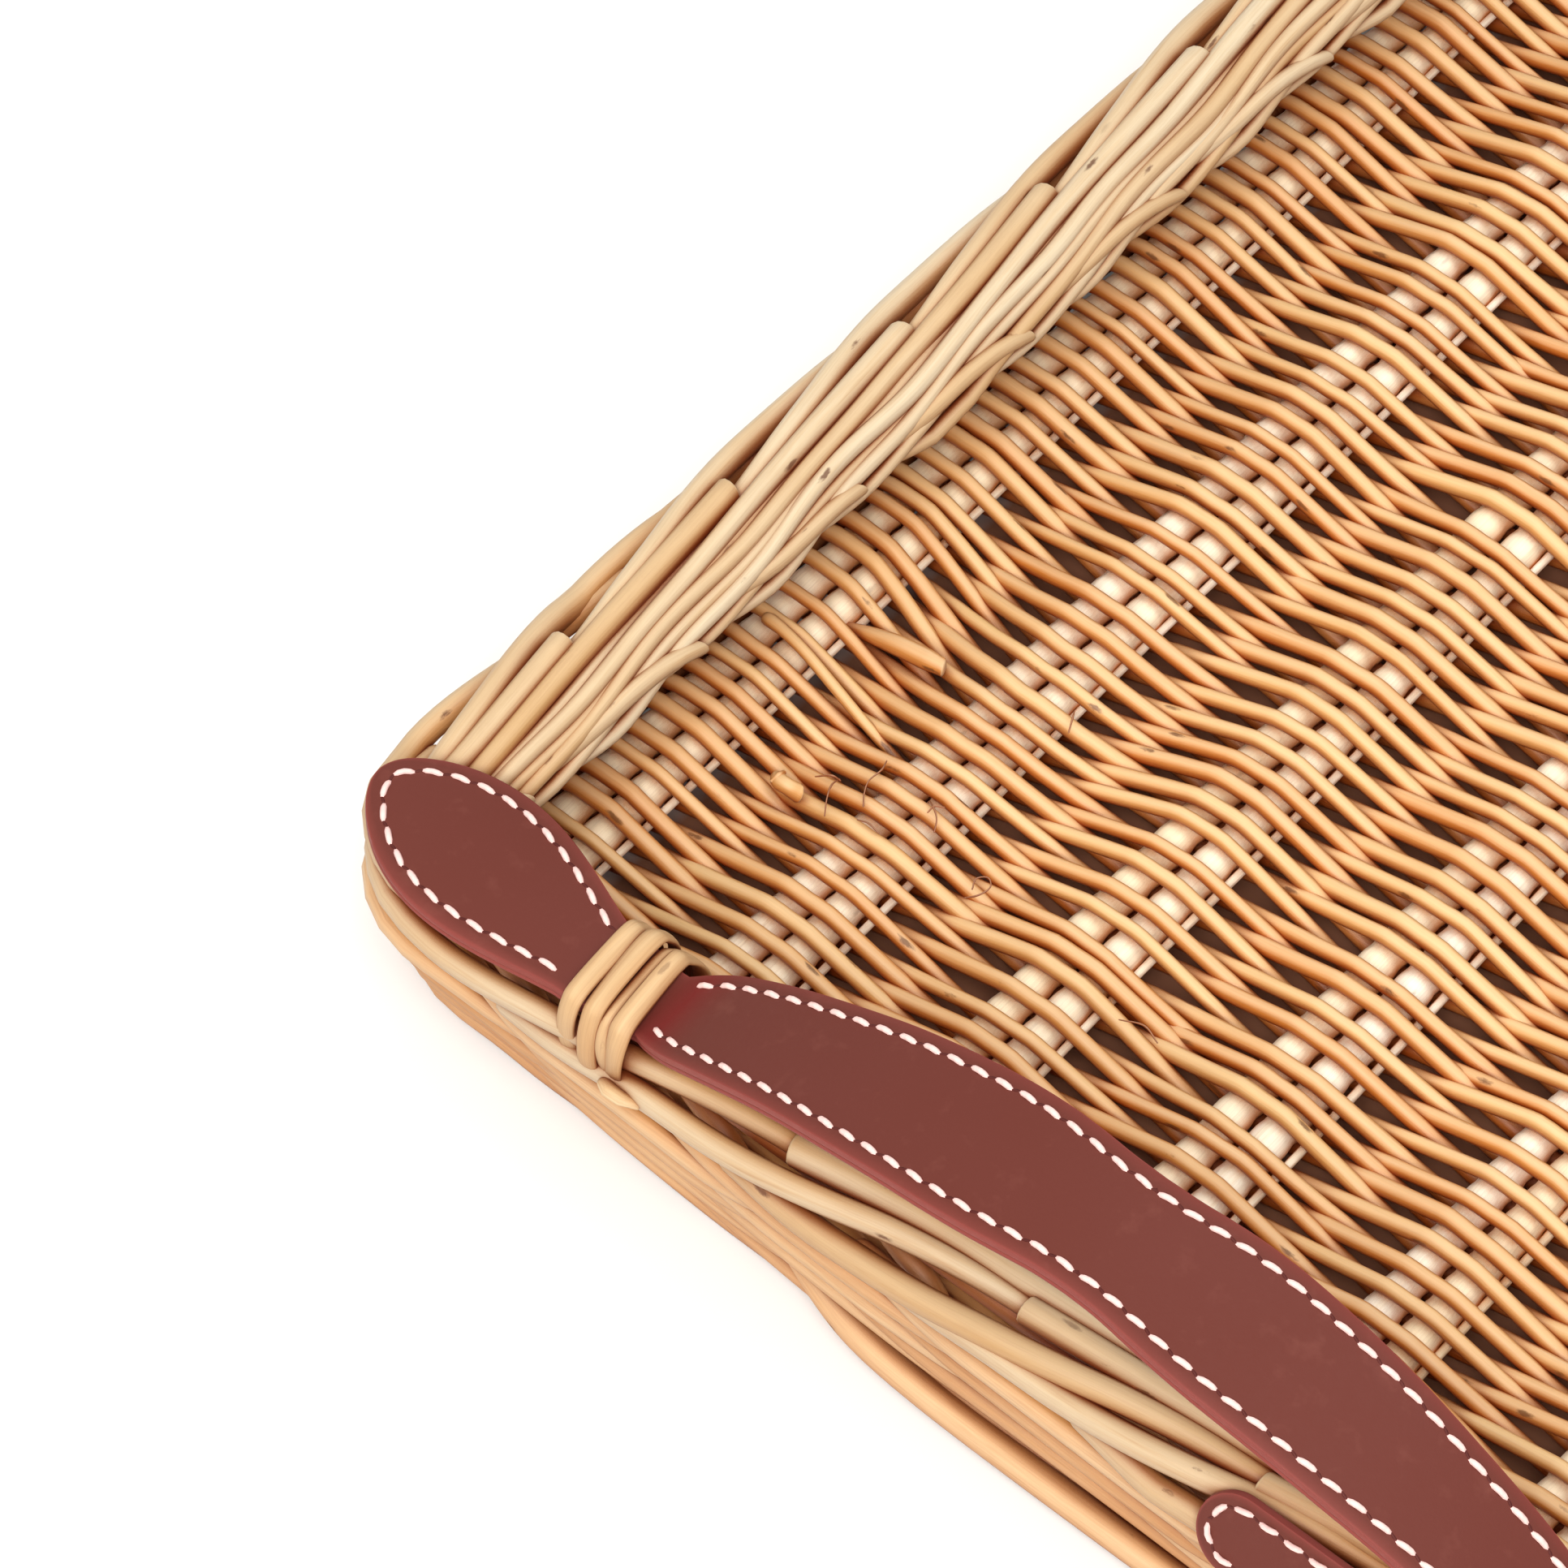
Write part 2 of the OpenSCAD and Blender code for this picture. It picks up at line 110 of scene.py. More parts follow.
CORNERS = ("back_right", "back_left", "front_left", "front_right")
SIDES = ("front", "right", "back", "left")
HALF_STRAPS = [(end, side) for end in ("front", "back") for side in ("left", "right")]


def linear(red, green, blue):
    """Linear colour of an sRGB colour given in 0 to 255."""
    def channel(c):
        c /= 255
        return c / 12.92 if c <= 0.04045 else ((c + 0.055) / 1.055) ** 2.4
    return tuple(channel(c) for c in (red, green, blue))


# ---------------------------------------------------------------- sizes and colours

def size_prop(name, text, default, low, high):
    """A length that can be chosen, given in millimetres."""
    return FloatProperty(name=name, description=text, default=default * MM, min=low * MM,
                         max=high * MM, unit="LENGTH", precision=4)


def colour_prop(name, text, rgb):
    """A colour that can be chosen, given in 0 to 255."""
    return FloatVectorProperty(name=name, description=text, subtype="COLOR", size=3,
                               default=linear(*rgb), min=0, max=1)


class BasketSizes(bpy.types.PropertyGroup):
    """Sizes of the willow and of the leather"""
    weft: size_prop("Floor weft", "Thickness of a floor weft", 3.2, 2.5, 4.5)
    strand: size_prop("Wall strand", "Thickness of a wall strand", 4.1, 3, 5)
    butt: size_prop("Border butt", "Thickness of a border rod at its cut end", 5.3, 4, 6)
    skein: size_prop("Lashing width", "Width of one turn of a lashing", 4.2, 3, 5)
    leather: size_prop("Leather", "Thickness of the outer leather", 1.8, 1, 2.5)
    lining: size_prop("Lining", "Thickness of the leather lining", 1.2, 0.8, 1.6)
    stitch: size_prop("Stitch", "Length of one stitch", 3.85, 2, 4.2)
    seed: IntProperty(name="Seed", description="Which set of natural irregularities is woven in",
                      default=11, min=0)


class BasketColours(bpy.types.PropertyGroup):
    """Colours of the willow, the leather and the thread"""
    border_pale: colour_prop("Border, pale", "Palest willow of the border", (200, 184, 156))
    border_tan: colour_prop("Border, tan", "Darkest willow of the border", (180, 140, 90))
    weft_pale: colour_prop("Weft, pale", "Palest willow of the floor wefts", (218, 172, 106))
    weft_tan: colour_prop("Weft, tan", "Darkest willow of the floor wefts", (200, 124, 46))
    stick: colour_prop("Stick", "Peeled willow of the floor sticks", (255, 250, 236))
    wall_pale: colour_prop("Wall, pale", "Palest willow of the wall", (215, 185, 146))
    wall_tan: colour_prop("Wall, tan", "Darkest willow of the wall", (183, 129, 76))
    skein: colour_prop("Skein", "Split willow of the lashings", (220, 196, 156))
    leather: colour_prop("Leather", "Face of the leather", (94, 42, 33))
    edge: colour_prop("Edge paint", "Painted cut edge of the leather", (129, 58, 51))
    thread: colour_prop("Thread", "Waxed stitching thread", (236, 196, 189))
    ground: colour_prop("Ground", "Floor that the tray stands on", (236, 234, 231))


# ---------------------------------------------------------------- shader sockets

def arithmetic(operation, swapped=False):
    """A method of Socket that adds a Math node."""
    def method(self, other):
        return self.shader.maths(operation, *((other, self) if swapped else (self, other)))
    return method


class Socket:
    """A shader value that Python's operators work on: each one adds its Math node."""

    def __init__(self, shader, socket):
        self.shader, self.socket = shader, socket

    __add__ = __radd__ = arithmetic("ADD")
    __mul__ = __rmul__ = arithmetic("MULTIPLY")
    __sub__ = arithmetic("SUBTRACT")
    __rsub__ = arithmetic("SUBTRACT", swapped=True)

    def clamped(self, low, high):
        """0 below low, 1 above high and straight between them."""
        return self.shader.node("MapRange", {"clamp": True}, {
            "Value": self, "From Min": low, "From Max": high, "To Min": 0.0, "To Max": 1.0})


class Shader:
    """Builds one material, node by node."""

    def __init__(self, name):
        self.material = bpy.data.materials.new(name)
        self.material.use_nodes = True
        self.tree = self.material.node_tree
        self.tree.nodes.clear()

    def node(self, kind, settings=None, values=None, output=0):
        """Adds a node: its settings first, then the values or links of its sockets."""
        made = self.tree.nodes.new("ShaderNode" + kind)
        for key, value in (settings or {}).items():
            setattr(made, key, value)
        for key, value in (values or {}).items():
            if isinstance(value, Socket):
                self.tree.links.new(value.socket, made.inputs[key])
            else:
                made.inputs[key].default_value = value
        return Socket(self, made.outputs[output])

    def maths(self, operation, *values):
        return self.node("Math", {"operation": operation}, dict(enumerate(values)))

    def attribute(self, name, output="Fac"):
        return self.node("Attribute", {"attribute_name": name}, output=output)

    def stretched(self, vector, scale):
        return self.node("VectorMath", {"operation": "MULTIPLY"}, {0: vector, 1: scale})

    def noise(self, vector, scale, detail=2.0, rough=0.5):
        return self.node("TexNoise", {}, {
            "Vector": vector, "Scale": scale, "Detail": detail, "Roughness": rough})

    def mix(self, factor, first, second, blend="MIX"):
        """Mix of two colours."""
        pair = (tone if isinstance(tone, Socket) else (*tone, 1) for tone in (first, second))
        return self.node("Mix", {"data_type": "RGBA", "blend_type": blend},
                         dict(zip((0, 6, 7), (factor, *pair))), output=2)

    def bump(self, height, distance, strength):
        return self.node("Bump", {}, {
            "Height": height, "Distance": distance, "Strength": strength})

    def surface(self, colour, roughness, normal, specular):
        """Principled surface as the output."""
        return self.finished(self.node("BsdfPrincipled", {}, {
            "Base Color": colour, "Roughness": roughness, "Normal": normal,
            "Specular IOR Level": specular}))

    def finished(self, shaded):
        """Links the shader to the output and gives back the material."""
        end = self.tree.nodes.new("ShaderNodeOutputMaterial")
        self.tree.links.new(shaded.socket, end.inputs["Surface"])
        return self.material


def willow(name, pale, tan, scars=1.0, rough=0.5, deep=(128, 76, 38), shade=(106, 46, 14),
           crevice_shade=0.85, shade_below=0.92, sides=0.3, warm_shade=0.9, top_highlight=0.25):
    """Peeled willow: fibres along the rod, warm clouds, dark bud scars, one tone for each rod, a
    painted highlight on the tops, and painted shade on the sides, undersides and where rods lie
    close together."""
    s = Shader(name)
    deep, shade = linear(*deep), linear(*shade)
    grain, top = s.attribute("grain", "Vector"), s.attribute("top")

    def grained(across, along, detail, rough=0.5):
        return s.noise(s.stretched(grain, (across, across, along)), 1.0, detail, rough)
    cloud = grained(0.10, 0.022, 2.0)
    streak = grained(0.75, 0.035, 3.0, 0.6)
    fibre = grained(3.2, 0.10, 2.0, 0.6)
    colour = s.mix((s.attribute("tone") * 0.75 + cloud * 0.9 - 0.35).clamped(0.0, 1.0), pale, tan)
    colour = s.mix(streak.clamped(0.50, 0.78) * 0.55, colour, tan)
    colour = s.mix(streak.clamped(0.66, 0.86) * 0.5, colour, deep)
    colour = s.mix(fibre.clamped(0.42, 0.70) * 0.16, colour, deep)
    # Painted shade: darker on the sides and undersides, where the surface faces away from up
    colour = s.mix((top + cloud * 0.4).clamped(1.05, -0.1) * sides, colour, shade)
    # Painted highlight: paler along the tops
    colour = s.mix((top + streak * 0.5).clamped(0.75, 1.3) * top_highlight, colour,
                   linear(228, 202, 162))
    cells = {"Vector": s.stretched(grain, (0.26, 0.26, 0.075)), "Scale": 1.0, "Randomness": 1.0}
    spot, pick = (s.node("TexVoronoi", {"feature": "F1"}, cells, output)
                  for output in ("Distance", "Color"))
    chosen = s.node("SeparateColor", {}, {"Color": pick}).clamped(0.60, 0.64)
    scar = (spot + grained(1.6, 0.7, 3.0, 0.7) * 0.22).clamped(0.27, 0.19) * chosen * scars
    # Painted shade: browner where other rods lie within 6 mm
    near, wide = (s.node("AmbientOcclusion", {"samples": 6}, {"Distance": far}, "AO")
                  for far in (0.006, 0.03))
    colour = s.mix(near.clamped(shade_below, 0.3 * shade_below) * crevice_shade, colour, shade)
    # Painted shade: warmer and darker where other rods lie within 30 mm
    warmer = s.mix(1.0, colour, linear(255, 208, 146), "MULTIPLY")
    colour = s.mix(wide.clamped(0.9, 0.3) * warm_shade, colour, warmer)
    colour = s.mix(scar * 0.85, colour, linear(92, 48, 22))
    colour = s.mix(s.attribute("cut") * 0.55, colour, linear(214, 188, 148))
    height = fibre * 0.5 + streak * 0.8 - scar * 0.9
    return s.surface(colour, streak * 0.25 + (rough - 0.1), s.bump(height, 0.00012, 0.7), 0.42)


def leather_face(name, colour, edge):
    """Smooth waxed calf: fine pores, faint clouds, painted edges and a red flush at the necks."""
    s = Shader(name)
    place = s.node("TexCoord", output="Object")
    pores = s.node("TexVoronoi", {"feature": "F1"}, {"Vector": place, "Scale": 1900.0})
    crease = s.noise(place, 620.0, 4.0, 0.6)
    cloud = s.noise(place, 22.0, 2.0)
    fleck = s.noise(place, 190.0, 3.0, 0.6)
    skin = s.mix(cloud.clamped(0.3, 0.75) * 0.5, colour, linear(98, 48, 41))
    skin = s.mix(fleck.clamped(0.58, 0.8) * 0.3, skin, linear(122, 69, 59))
    skin = s.mix(s.attribute("flush") * 0.8, skin, linear(108, 22, 21))
    skin = s.mix(s.attribute("edge"), skin, edge)
    height = pores * 0.35 + crease * 0.8
    return s.surface(skin, crease * 0.18 + 0.5, s.bump(height, 0.00006, 0.55), 0.2)


def thread_finish(colour):
    """Waxed linen thread, twisted, with painted shade at each stitch's ends, where it dives into
    the leather.
    """
    s = Shader("waxed_thread")
    along, turn = s.attribute("along"), s.attribute("turn")
    twist = s.maths("SINE", along * 24.0 + turn * 6.283)
    # Painted shade: darker towards both ends of each stitch, where it dives into its hole
    ends = s.maths("ABSOLUTE", along - 0.5).clamped(0.34, 0.5)
    shade = s.mix((twist * 0.5 + 0.5) * 0.16, colour, linear(214, 168, 160))
    shade = s.mix(ends * 0.75, shade, linear(168, 96, 88))
    return s.surface(shade, twist * 0.05 + 0.55, s.bump(twist, 0.00004, 0.5), 0.3)


# ---------------------------------------------------------------- rods

def unit(vectors):
    """Vectors brought to length 1."""
    return vectors / np.maximum(np.linalg.norm(vectors, axis=-1, keepdims=True), 1e-9)


def smooth_through(keys, values, at):
    """Smooth curve through values at ascending keys."""
    keys, values, at = (np.asarray(a, float) for a in (keys, values, at))
    slope = np.gradient(values, keys)
    k = np.clip(np.searchsorted(keys, at) - 1, 0, len(keys) - 2)
    gap = keys[k + 1] - keys[k]
    t = np.clip((at - keys[k]) / gap, 0, 1)
    return ((2 * t**3 - 3 * t**2 + 1) * values[k] + (t**3 - 2 * t**2 + t) * gap * slope[k]
            + (3 * t**2 - 2 * t**3) * values[k + 1] + (t**3 - t**2) * gap * slope[k + 1])


def ramp(value, low, high):
    """Smooth step from 0 at low to 1 at high."""
    t = np.clip((value - low) / (high - low), 0, 1)
    return t * t * (3 - 2 * t)


def wander(random, count, reach, knots):
    """Slow irregular sway of a rod, about reach to each side."""
    places = np.linspace(0, 1, knots)
    return smooth_through(places, random.normal(0, reach, knots), np.linspace(0, 1, count))


# Rings that close a rod's end: how far out and how wide, in radii
ENDS = {"round": ((0.5, 0.87), (0.86, 0.5), (1.0, 0.0)),
        "cut": ((0.16, 0.93), (0.25, 0.72), (0.28, 0.0))}
# Points nearer than this are merged, in metres
DOUBLE_GAP = 2e-6


def mark(mesh, key, values):
    """Stores a value or a vector at each point of a mesh, for its finish."""
    values = np.asarray(values, np.float32)
    kind, field = ("FLOAT_VECTOR", "vector") if values.ndim == 2 else ("FLOAT", "value")
    mesh.attributes.new(key, kind, "POINT").data.foreach_set(field, values.ravel())


class Bundle:
    """Rods that make one piece together, with the grain that their finish follows."""

    def __init__(self, number):
        self.random = np.random.default_rng(bpy.context.scene.basket_sizes.seed + number)
        self.points, self.faces, self.marks, self.count = [], [], {}, 0

    def rod(self, line, radius, sides=10, hint=(0, 0, 1), ends=("round", "round"), tone=None,
            flat=1.0, twist=0.0, slant=0.0, closed=False):
        """Adds a rod along a line of points. Flat is its thickness as a share of its width."""
        line = np.asarray(line, float)
        radius = np.broadcast_to(np.asarray(radius, float), len(line))
        if closed:
            ahead = unit(np.roll(line, -1, 0) - np.roll(line, 1, 0))
        else:
            ahead = unit(np.gradient(line, axis=0))
        lift = np.broadcast_to(np.asarray(hint, float), line.shape)
        lift = unit(lift - (lift * ahead).sum(1)[:, None] * ahead)
        side = np.cross(ahead, lift)
        twist = np.broadcast_to(np.asarray(twist, float), len(line))[:, None]
        lift, side = (lift * np.cos(twist) + side * np.sin(twist),
                      side * np.cos(twist) - lift * np.sin(twist))
        length = np.concatenate([[0], np.cumsum(np.linalg.norm(np.diff(line, axis=0), axis=1))])
        cut, lean = np.zeros((2, len(line)))
        if not closed:
            lean[[0, -1]] = slant
            rows = line, radius, length, cut, lean, ahead, lift, side
            for e, way, kind in ((0, -1, ends[0]), (-1, 1, ends[1])):
                width = radius[e]
                rings = [(line[e] + ahead[e] * way * out * width, wide * width,
                          length[e] + way * out * width, float(kind == "cut"), slant, ahead[e],
                          lift[e], side[e]) for out, wide in ENDS[kind]]
                cap = [np.array(part) for part in zip(*rings[::way])]
                joined = zip(cap, rows) if way < 0 else zip(rows, cap)
                rows = [np.concatenate(pair) for pair in joined]
            line, radius, length, cut, lean, ahead, lift, side = rows
        angle = np.linspace(0, 2 * np.pi, sides, endpoint=False)
        across, up = np.cos(angle), np.sin(angle)
        offset = (radius[:, None, None] * (across[None, :, None] * side[:, None, :]
                  + flat * up[None, :, None] * lift[:, None, :]))
        rings = line[:, None, :] + offset + (
            ahead[:, None, :] * (lean[:, None] * radius[:, None] * across)[:, :, None])
        shift = self.random.uniform(0, 900, 3)
        grain = np.stack([radius[:, None] * across + shift[0], radius[:, None] * up + shift[1],
                          length[:, None] + 0 * angle + shift[2]], -1)
        tone = self.random.uniform() if tone is None else tone
        n = len(line)
        index = self.count + np.arange(n * sides).reshape(n, sides)
        here, over = index, np.roll(index, -1, 1)
        if closed:
            nxt, nxt_over = np.roll(here, -1, 0), np.roll(over, -1, 0)
        else:
            here, over, nxt, nxt_over = here[:-1], over[:-1], here[1:], over[1:]
        self.faces += np.stack([here, nxt, nxt_over, over], -1).reshape(-1, 4).tolist()
        self.points.append(rings.reshape(-1, 3))
        marks = {"grain": grain.reshape(-1, 3), "tone": np.full(n * sides, tone),
                 "cut": np.repeat(cut, sides), "turn": np.tile(angle / (2 * np.pi), n),
                 "top": unit(offset)[..., 2].ravel(),
                 "along": np.repeat((length - length[0]) / (length[-1] - length[0] + 1e-9), sides)}
        for key, value in marks.items():
            self.marks.setdefault(key, []).append(value)
        self.count += n * sides

    def piece(self, name, material, body, slot, *nodes):
        """Makes the rods one smooth mesh that rides on a body and stands for frame nodes."""
        mesh = bpy.data.meshes.new(name)
        mesh.from_pydata((np.concatenate(self.points) * MM).tolist(), [], self.faces)
        for key, parts in self.marks.items():
            mark(mesh, key, np.concatenate(parts))
        return dress(name, mesh, material, body, slot, *nodes)


def edited(made, operator, **settings):
    """Runs one operator of edit mode on a whole mesh and leaves its object selected."""
    bpy.ops.object.select_all(action="DESELECT")
    made.select_set(True)
    bpy.context.view_layer.objects.active = made
    bpy.ops.object.mode_set(mode="EDIT")
    bpy.ops.mesh.select_all(action="SELECT")
    operator(**settings)
    bpy.ops.object.mode_set(mode="OBJECT")


def dress(name, mesh, material, body, slot, *nodes):
    """Merges the doubled points of a mesh and gives it its finish, body and frame nodes."""
    made = bpy.data.objects.new(name, mesh)
    bpy.context.collection.objects.link(made)
    mesh.materials.append(material)
    edited(made, bpy.ops.mesh.remove_doubles, threshold=DOUBLE_GAP)
    bpy.ops.object.shade_smooth()
    made.select_set(False)
    if body:
        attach(made, body)
    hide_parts(*nodes)
    return made


# ---------------------------------------------------------------- lines round the tray

def rim_frame(p):
    """Point on the rim's middle line and the way out, p mm clockwise from the front left."""
    p = np.mod(p, PERIMETER)
    point, out = np.zeros((2, len(p), 2))
    start = 0.0
    for k, (reach, half) in enumerate(((RIM_X, RUN_Y), (RIM_Y, RUN_X)) * 2):
        facing = math.radians(180 - 90 * k)
        normal = np.array([math.cos(facing), math.sin(facing)])
        onward = np.array([math.sin(facing), -math.cos(facing)])
        here = (p >= start) & (p < start + 2 * half)
        point[here] = normal * reach + onward * (p[here] - start - half)[:, None]
        out[here] = normal
        start += 2 * half
        here = (p >= start) & (p < start + ARC)
        turned = facing - (p[here] - start) / CORNER_R
        out[here] = np.stack([np.cos(turned), np.sin(turned)], -1)
        centre = np.sign(np.round(normal + onward)) * (RUN_X, RUN_Y)
        point[here] = centre + CORNER_R * out[here]
        start += ARC
    return point, out


def rim_line(p, v, z):
    """Points at p along the rim, v out from its middle line and z above the ground."""
    point, out = rim_frame(p)
    return np.column_stack([point + v[:, None] * out, z])


# Foot of a short side: how far it stands in at its middle, how much more at its ends, and where
FOOT_IN, FOOT_BOW, FOOT_REACH = 6.9, 5.3, 131
# Share of that which the ends of the floor sticks follow
STICK_FOLLOW = 0.89


def foot_inset(x):
    """How far the foot of a short side stands in from the rim."""
    return FOOT_IN + FOOT_BOW * np.minimum(np.abs(x) / FOOT_REACH, 1) ** 2


def leaned(points):
    """Leans the short sides in towards their foot."""
    moved = points.copy()
    low = np.clip(1 - points[:, 2] / WALL_TOP, 0, 1)
    share = np.minimum(np.abs(points[:, 1]) / RUN_Y, 1) ** 3
    moved[:, 1] -= np.sign(points[:, 1]) * foot_inset(points[:, 0]) * low * share
    return moved


def stake_places():
    """Places of the 36 stakes and corner posts along the rim, clockwise."""
    side = [(k + 0.5) * 2 * RUN_Y / 10 for k in range(10)]
    end = [RUN_X + s for s in [-x for x in END_STAKES[::-1]] + END_STAKES]
    places, start = [], 0.0
    for half, local in ((RUN_Y, side), (RUN_X, end)) * 2:
        places += [start + s for s in local] + [start + 2 * half + ARC / 2]
        start += 2 * half + ARC
    return places


# ---------------------------------------------------------------- pieces

def tint(name):
    """A chosen colour."""
    return tuple(getattr(bpy.context.scene.basket_colours, name))


def mm(name):
    """A chosen size, in millimetres."""
    return getattr(bpy.context.scene.basket_sizes, name) / MM


def all_round(side, corner):
    """Frame nodes of one kind on the four sides and the four corners."""
    return [f"{side}_{s}" for s in SIDES] + [f"{corner}_{c}" for c in CORNERS]


# How a weft bends over or under a pair: places from the pair's middle and shares of its swing
WEFT_BEND = ((-19.5, 0.08), (-12, 0.54), (-6, 0.93), (-4.5, 1.01), (-2.2, 1.02), (0, 1),
             (2.2, 1.02), (4.5, 1.01), (6, 0.93), (12, 0.54), (19.5, 0.08))

# Thin rod that fills the weave to the right of each pair: how far from its middle, and its radius
FILLER_OUT, FILLER_R = 8.4, 0.85

# Short wefts woven in beside others: points, radii, ends and tone
LOOSE_WEFTS = (
    (((-148.9, -136.2, 13.4), (-147.6, -136.5, 14.2), (-144, -136.9, 14.4), (-138, -138, 14.2),
      (-130, -139.4, 12.2), (-120, -141, 9.4), (-110, -141.6, 5.2)),
     (1.2, 1.3, 1.15, 1.1, 1.1, 1, 0.9), ("cut", "round"), 0),
    (((-140, -125.2, 7.6), (-134, -125.7, 10.8), (-128, -125.4, 12.6), (-122, -124.8, 13.2),
      (-118.6, -124.4, 13.3)), (0.9, 1.5, 1.9, 1.95, 1.6), ("round", "cut"), 0.75),
    (((-126.2, -160.2, 12.2), (-124.6, -161.2, 13.4), (-122.6, -161.3, 13.7),
      (-120.9, -160.6, 12.6)), (1.1, 1.6, 1.5, 1.7), ("cut", "cut"), 0.45),
    (((-125.6, -159, 12.6), (-124.9, -160.9, 14.6), (-125.3, -162.4, 13.9)), (0.5, 0.6, 0.4),
     ("round", "cut"), 0.9))
# Points of the bark splinters that stand up from the floor
SPLINTERS = (
    ((-112.4, -147, 15.2), (-111.4, -149.6, 16.2), (-111.7, -152.6, 16),
     (-110.9, -154.8, 15.4), (-109.6, -156.6, 14.6)),
    ((-116.6, -154.6, 14.2), (-116.2, -157.2, 15.6), (-114.9, -160, 15.8),
     (-113.4, -162.4, 14.6)),
    ((-120.4, -156.6, 13.6), (-117.6, -155.6, 15.4), (-116.2, -154.9, 14.4)),
    ((-101.4, -148.6, 15), (-99.6, -149.8, 16.2), (-97.6, -151.4, 16.2), (-96.6, -153.2, 15.2)),
    ((-98.2, -148.6, 16), (-99.6, -149.6, 16.2), (-99.9, -151, 15.6)),
    ((-94.6, -117.6, 14.6), (-93.4, -119.6, 15.8), (-92.2, -122.2, 15.2)),
    ((-108.4, -159.6, 15), (-106.2, -159.2, 15.5), (-103.8, -159.4, 15)),
    ((-84.4, -160, 14.4), (-82.4, -158.6, 15.6), (-81.8, -156.2, 15.8), (-83.4, -154.8, 15.6),
     (-85, -156, 15.2), (-84.4, -157.8, 14.6)),
    ((-49, -162, 14), (-44.6, -160.9, 15.2), (-41, -161.8, 14.6)))

# Places along the first two pairs where wefts cross over them
CROSSINGS = (
    (-173, -168, -161.5, -156.5, -151.5, -146.5, -141.5, -134.8, -128, -120.5, -114, -109.5, -103,
     -98.5, -96, -89.5, -83),
    (-176.5, -170.5, -165, -160, -155, -149.8, -145.3, -139.8, -134.5, -129.8, -124.6, -119.4,
     -113, -107.2, -101, -95, -87.5, -83))
# Elsewhere: how far a crossing strays, the least space between two, and the last one's margin
CROSSING_STRAY, CROSSING_GAP, FIELD_MARGIN = 0.85, 3.5, 1.6
PUSHES = 12


def weave(random):
    """Places of all wefts along the pairs: uneven where they cross over, and evened out below."""
    number = np.arange(WEFT_ROWS)
    even = (number - (WEFT_ROWS - 1) / 2) * WEFT_PITCH
    rows = np.zeros((WEFT_ROWS, PAIRS))
    for pair in range(PAIRS):
        regular = even[pair % 2::2]
        over = regular + random.normal(0, CROSSING_STRAY, len(regular))
        if pair < len(CROSSINGS):
            given = CROSSINGS[pair]
            first = np.abs(regular - np.mean(given) + (len(given) - 1) * WEFT_PITCH).argmin()
            over[first:first + len(given)] = given
        for _ in range(PUSHES):
            push = np.clip(CROSSING_GAP - np.diff(over), 0, None) / 2
            over[:-1] -= push
            over[1:] += push
        over = np.clip(over, FIELD_MARGIN - FIELD_Y, FIELD_Y - FIELD_MARGIN)
        rows[:, pair] = np.interp(number, number[pair % 2::2], over)
        rows[1 - pair % 2::2, pair] += random.normal(0, 0.2, len(rows[1 - pair % 2::2]))
    return rows


def drawn(line, width, fine=8):
    """Smooth line and radii through a few points."""
    keys = np.arange(len(line))
    at = np.linspace(0, len(line) - 1, fine * len(line))
    path = np.stack([smooth_through(keys, c, at) for c in np.transpose(line)], -1)
    return path, np.interp(at, keys, width)


def lay_pair(sticks, place, over):
    """Lays a pair of sticks, pinched where wefts cross over it, and the thin rod beside it."""
    for way in (-1, 1):
        x = place + way * PAIR_STEP / 2
        past = max(0, abs(x) + STICK_R - RUN_X)
        end = RIM_Y + FOOT_IN - foot_inset(x) * STICK_FOLLOW
        if past > 0:
            end -= OUTER_R - math.sqrt(OUTER_R**2 - past**2)
        y = np.linspace(-end, end, 480)
        sway = wander(sticks.random, len(y), 0.12, 9)
        pressed = np.exp(-(np.abs(y[:, None] - over).min(1) / 1.5)**2)
        width = STICK_R * (1 - 0.1 * pressed + wander(sticks.random, len(y), 0.008, 12))
        sticks.rod(np.stack([x + sway, y, FLOOR_Z + 0 * y], -1), np.minimum(width, STICK_R), 12,
                   ends=("cut", "cut"))
    y = np.linspace(6 - RUN_Y, RUN_Y - 6, 60)
    line = np.stack([place + FILLER_OUT + wander(sticks.random, len(y), 0.25, 9), y,
                     FLOOR_Z + wander(sticks.random, len(y), 0.2, 9)], -1)
    sticks.rod(line, FILLER_R, 6, ends=("cut", "cut"))


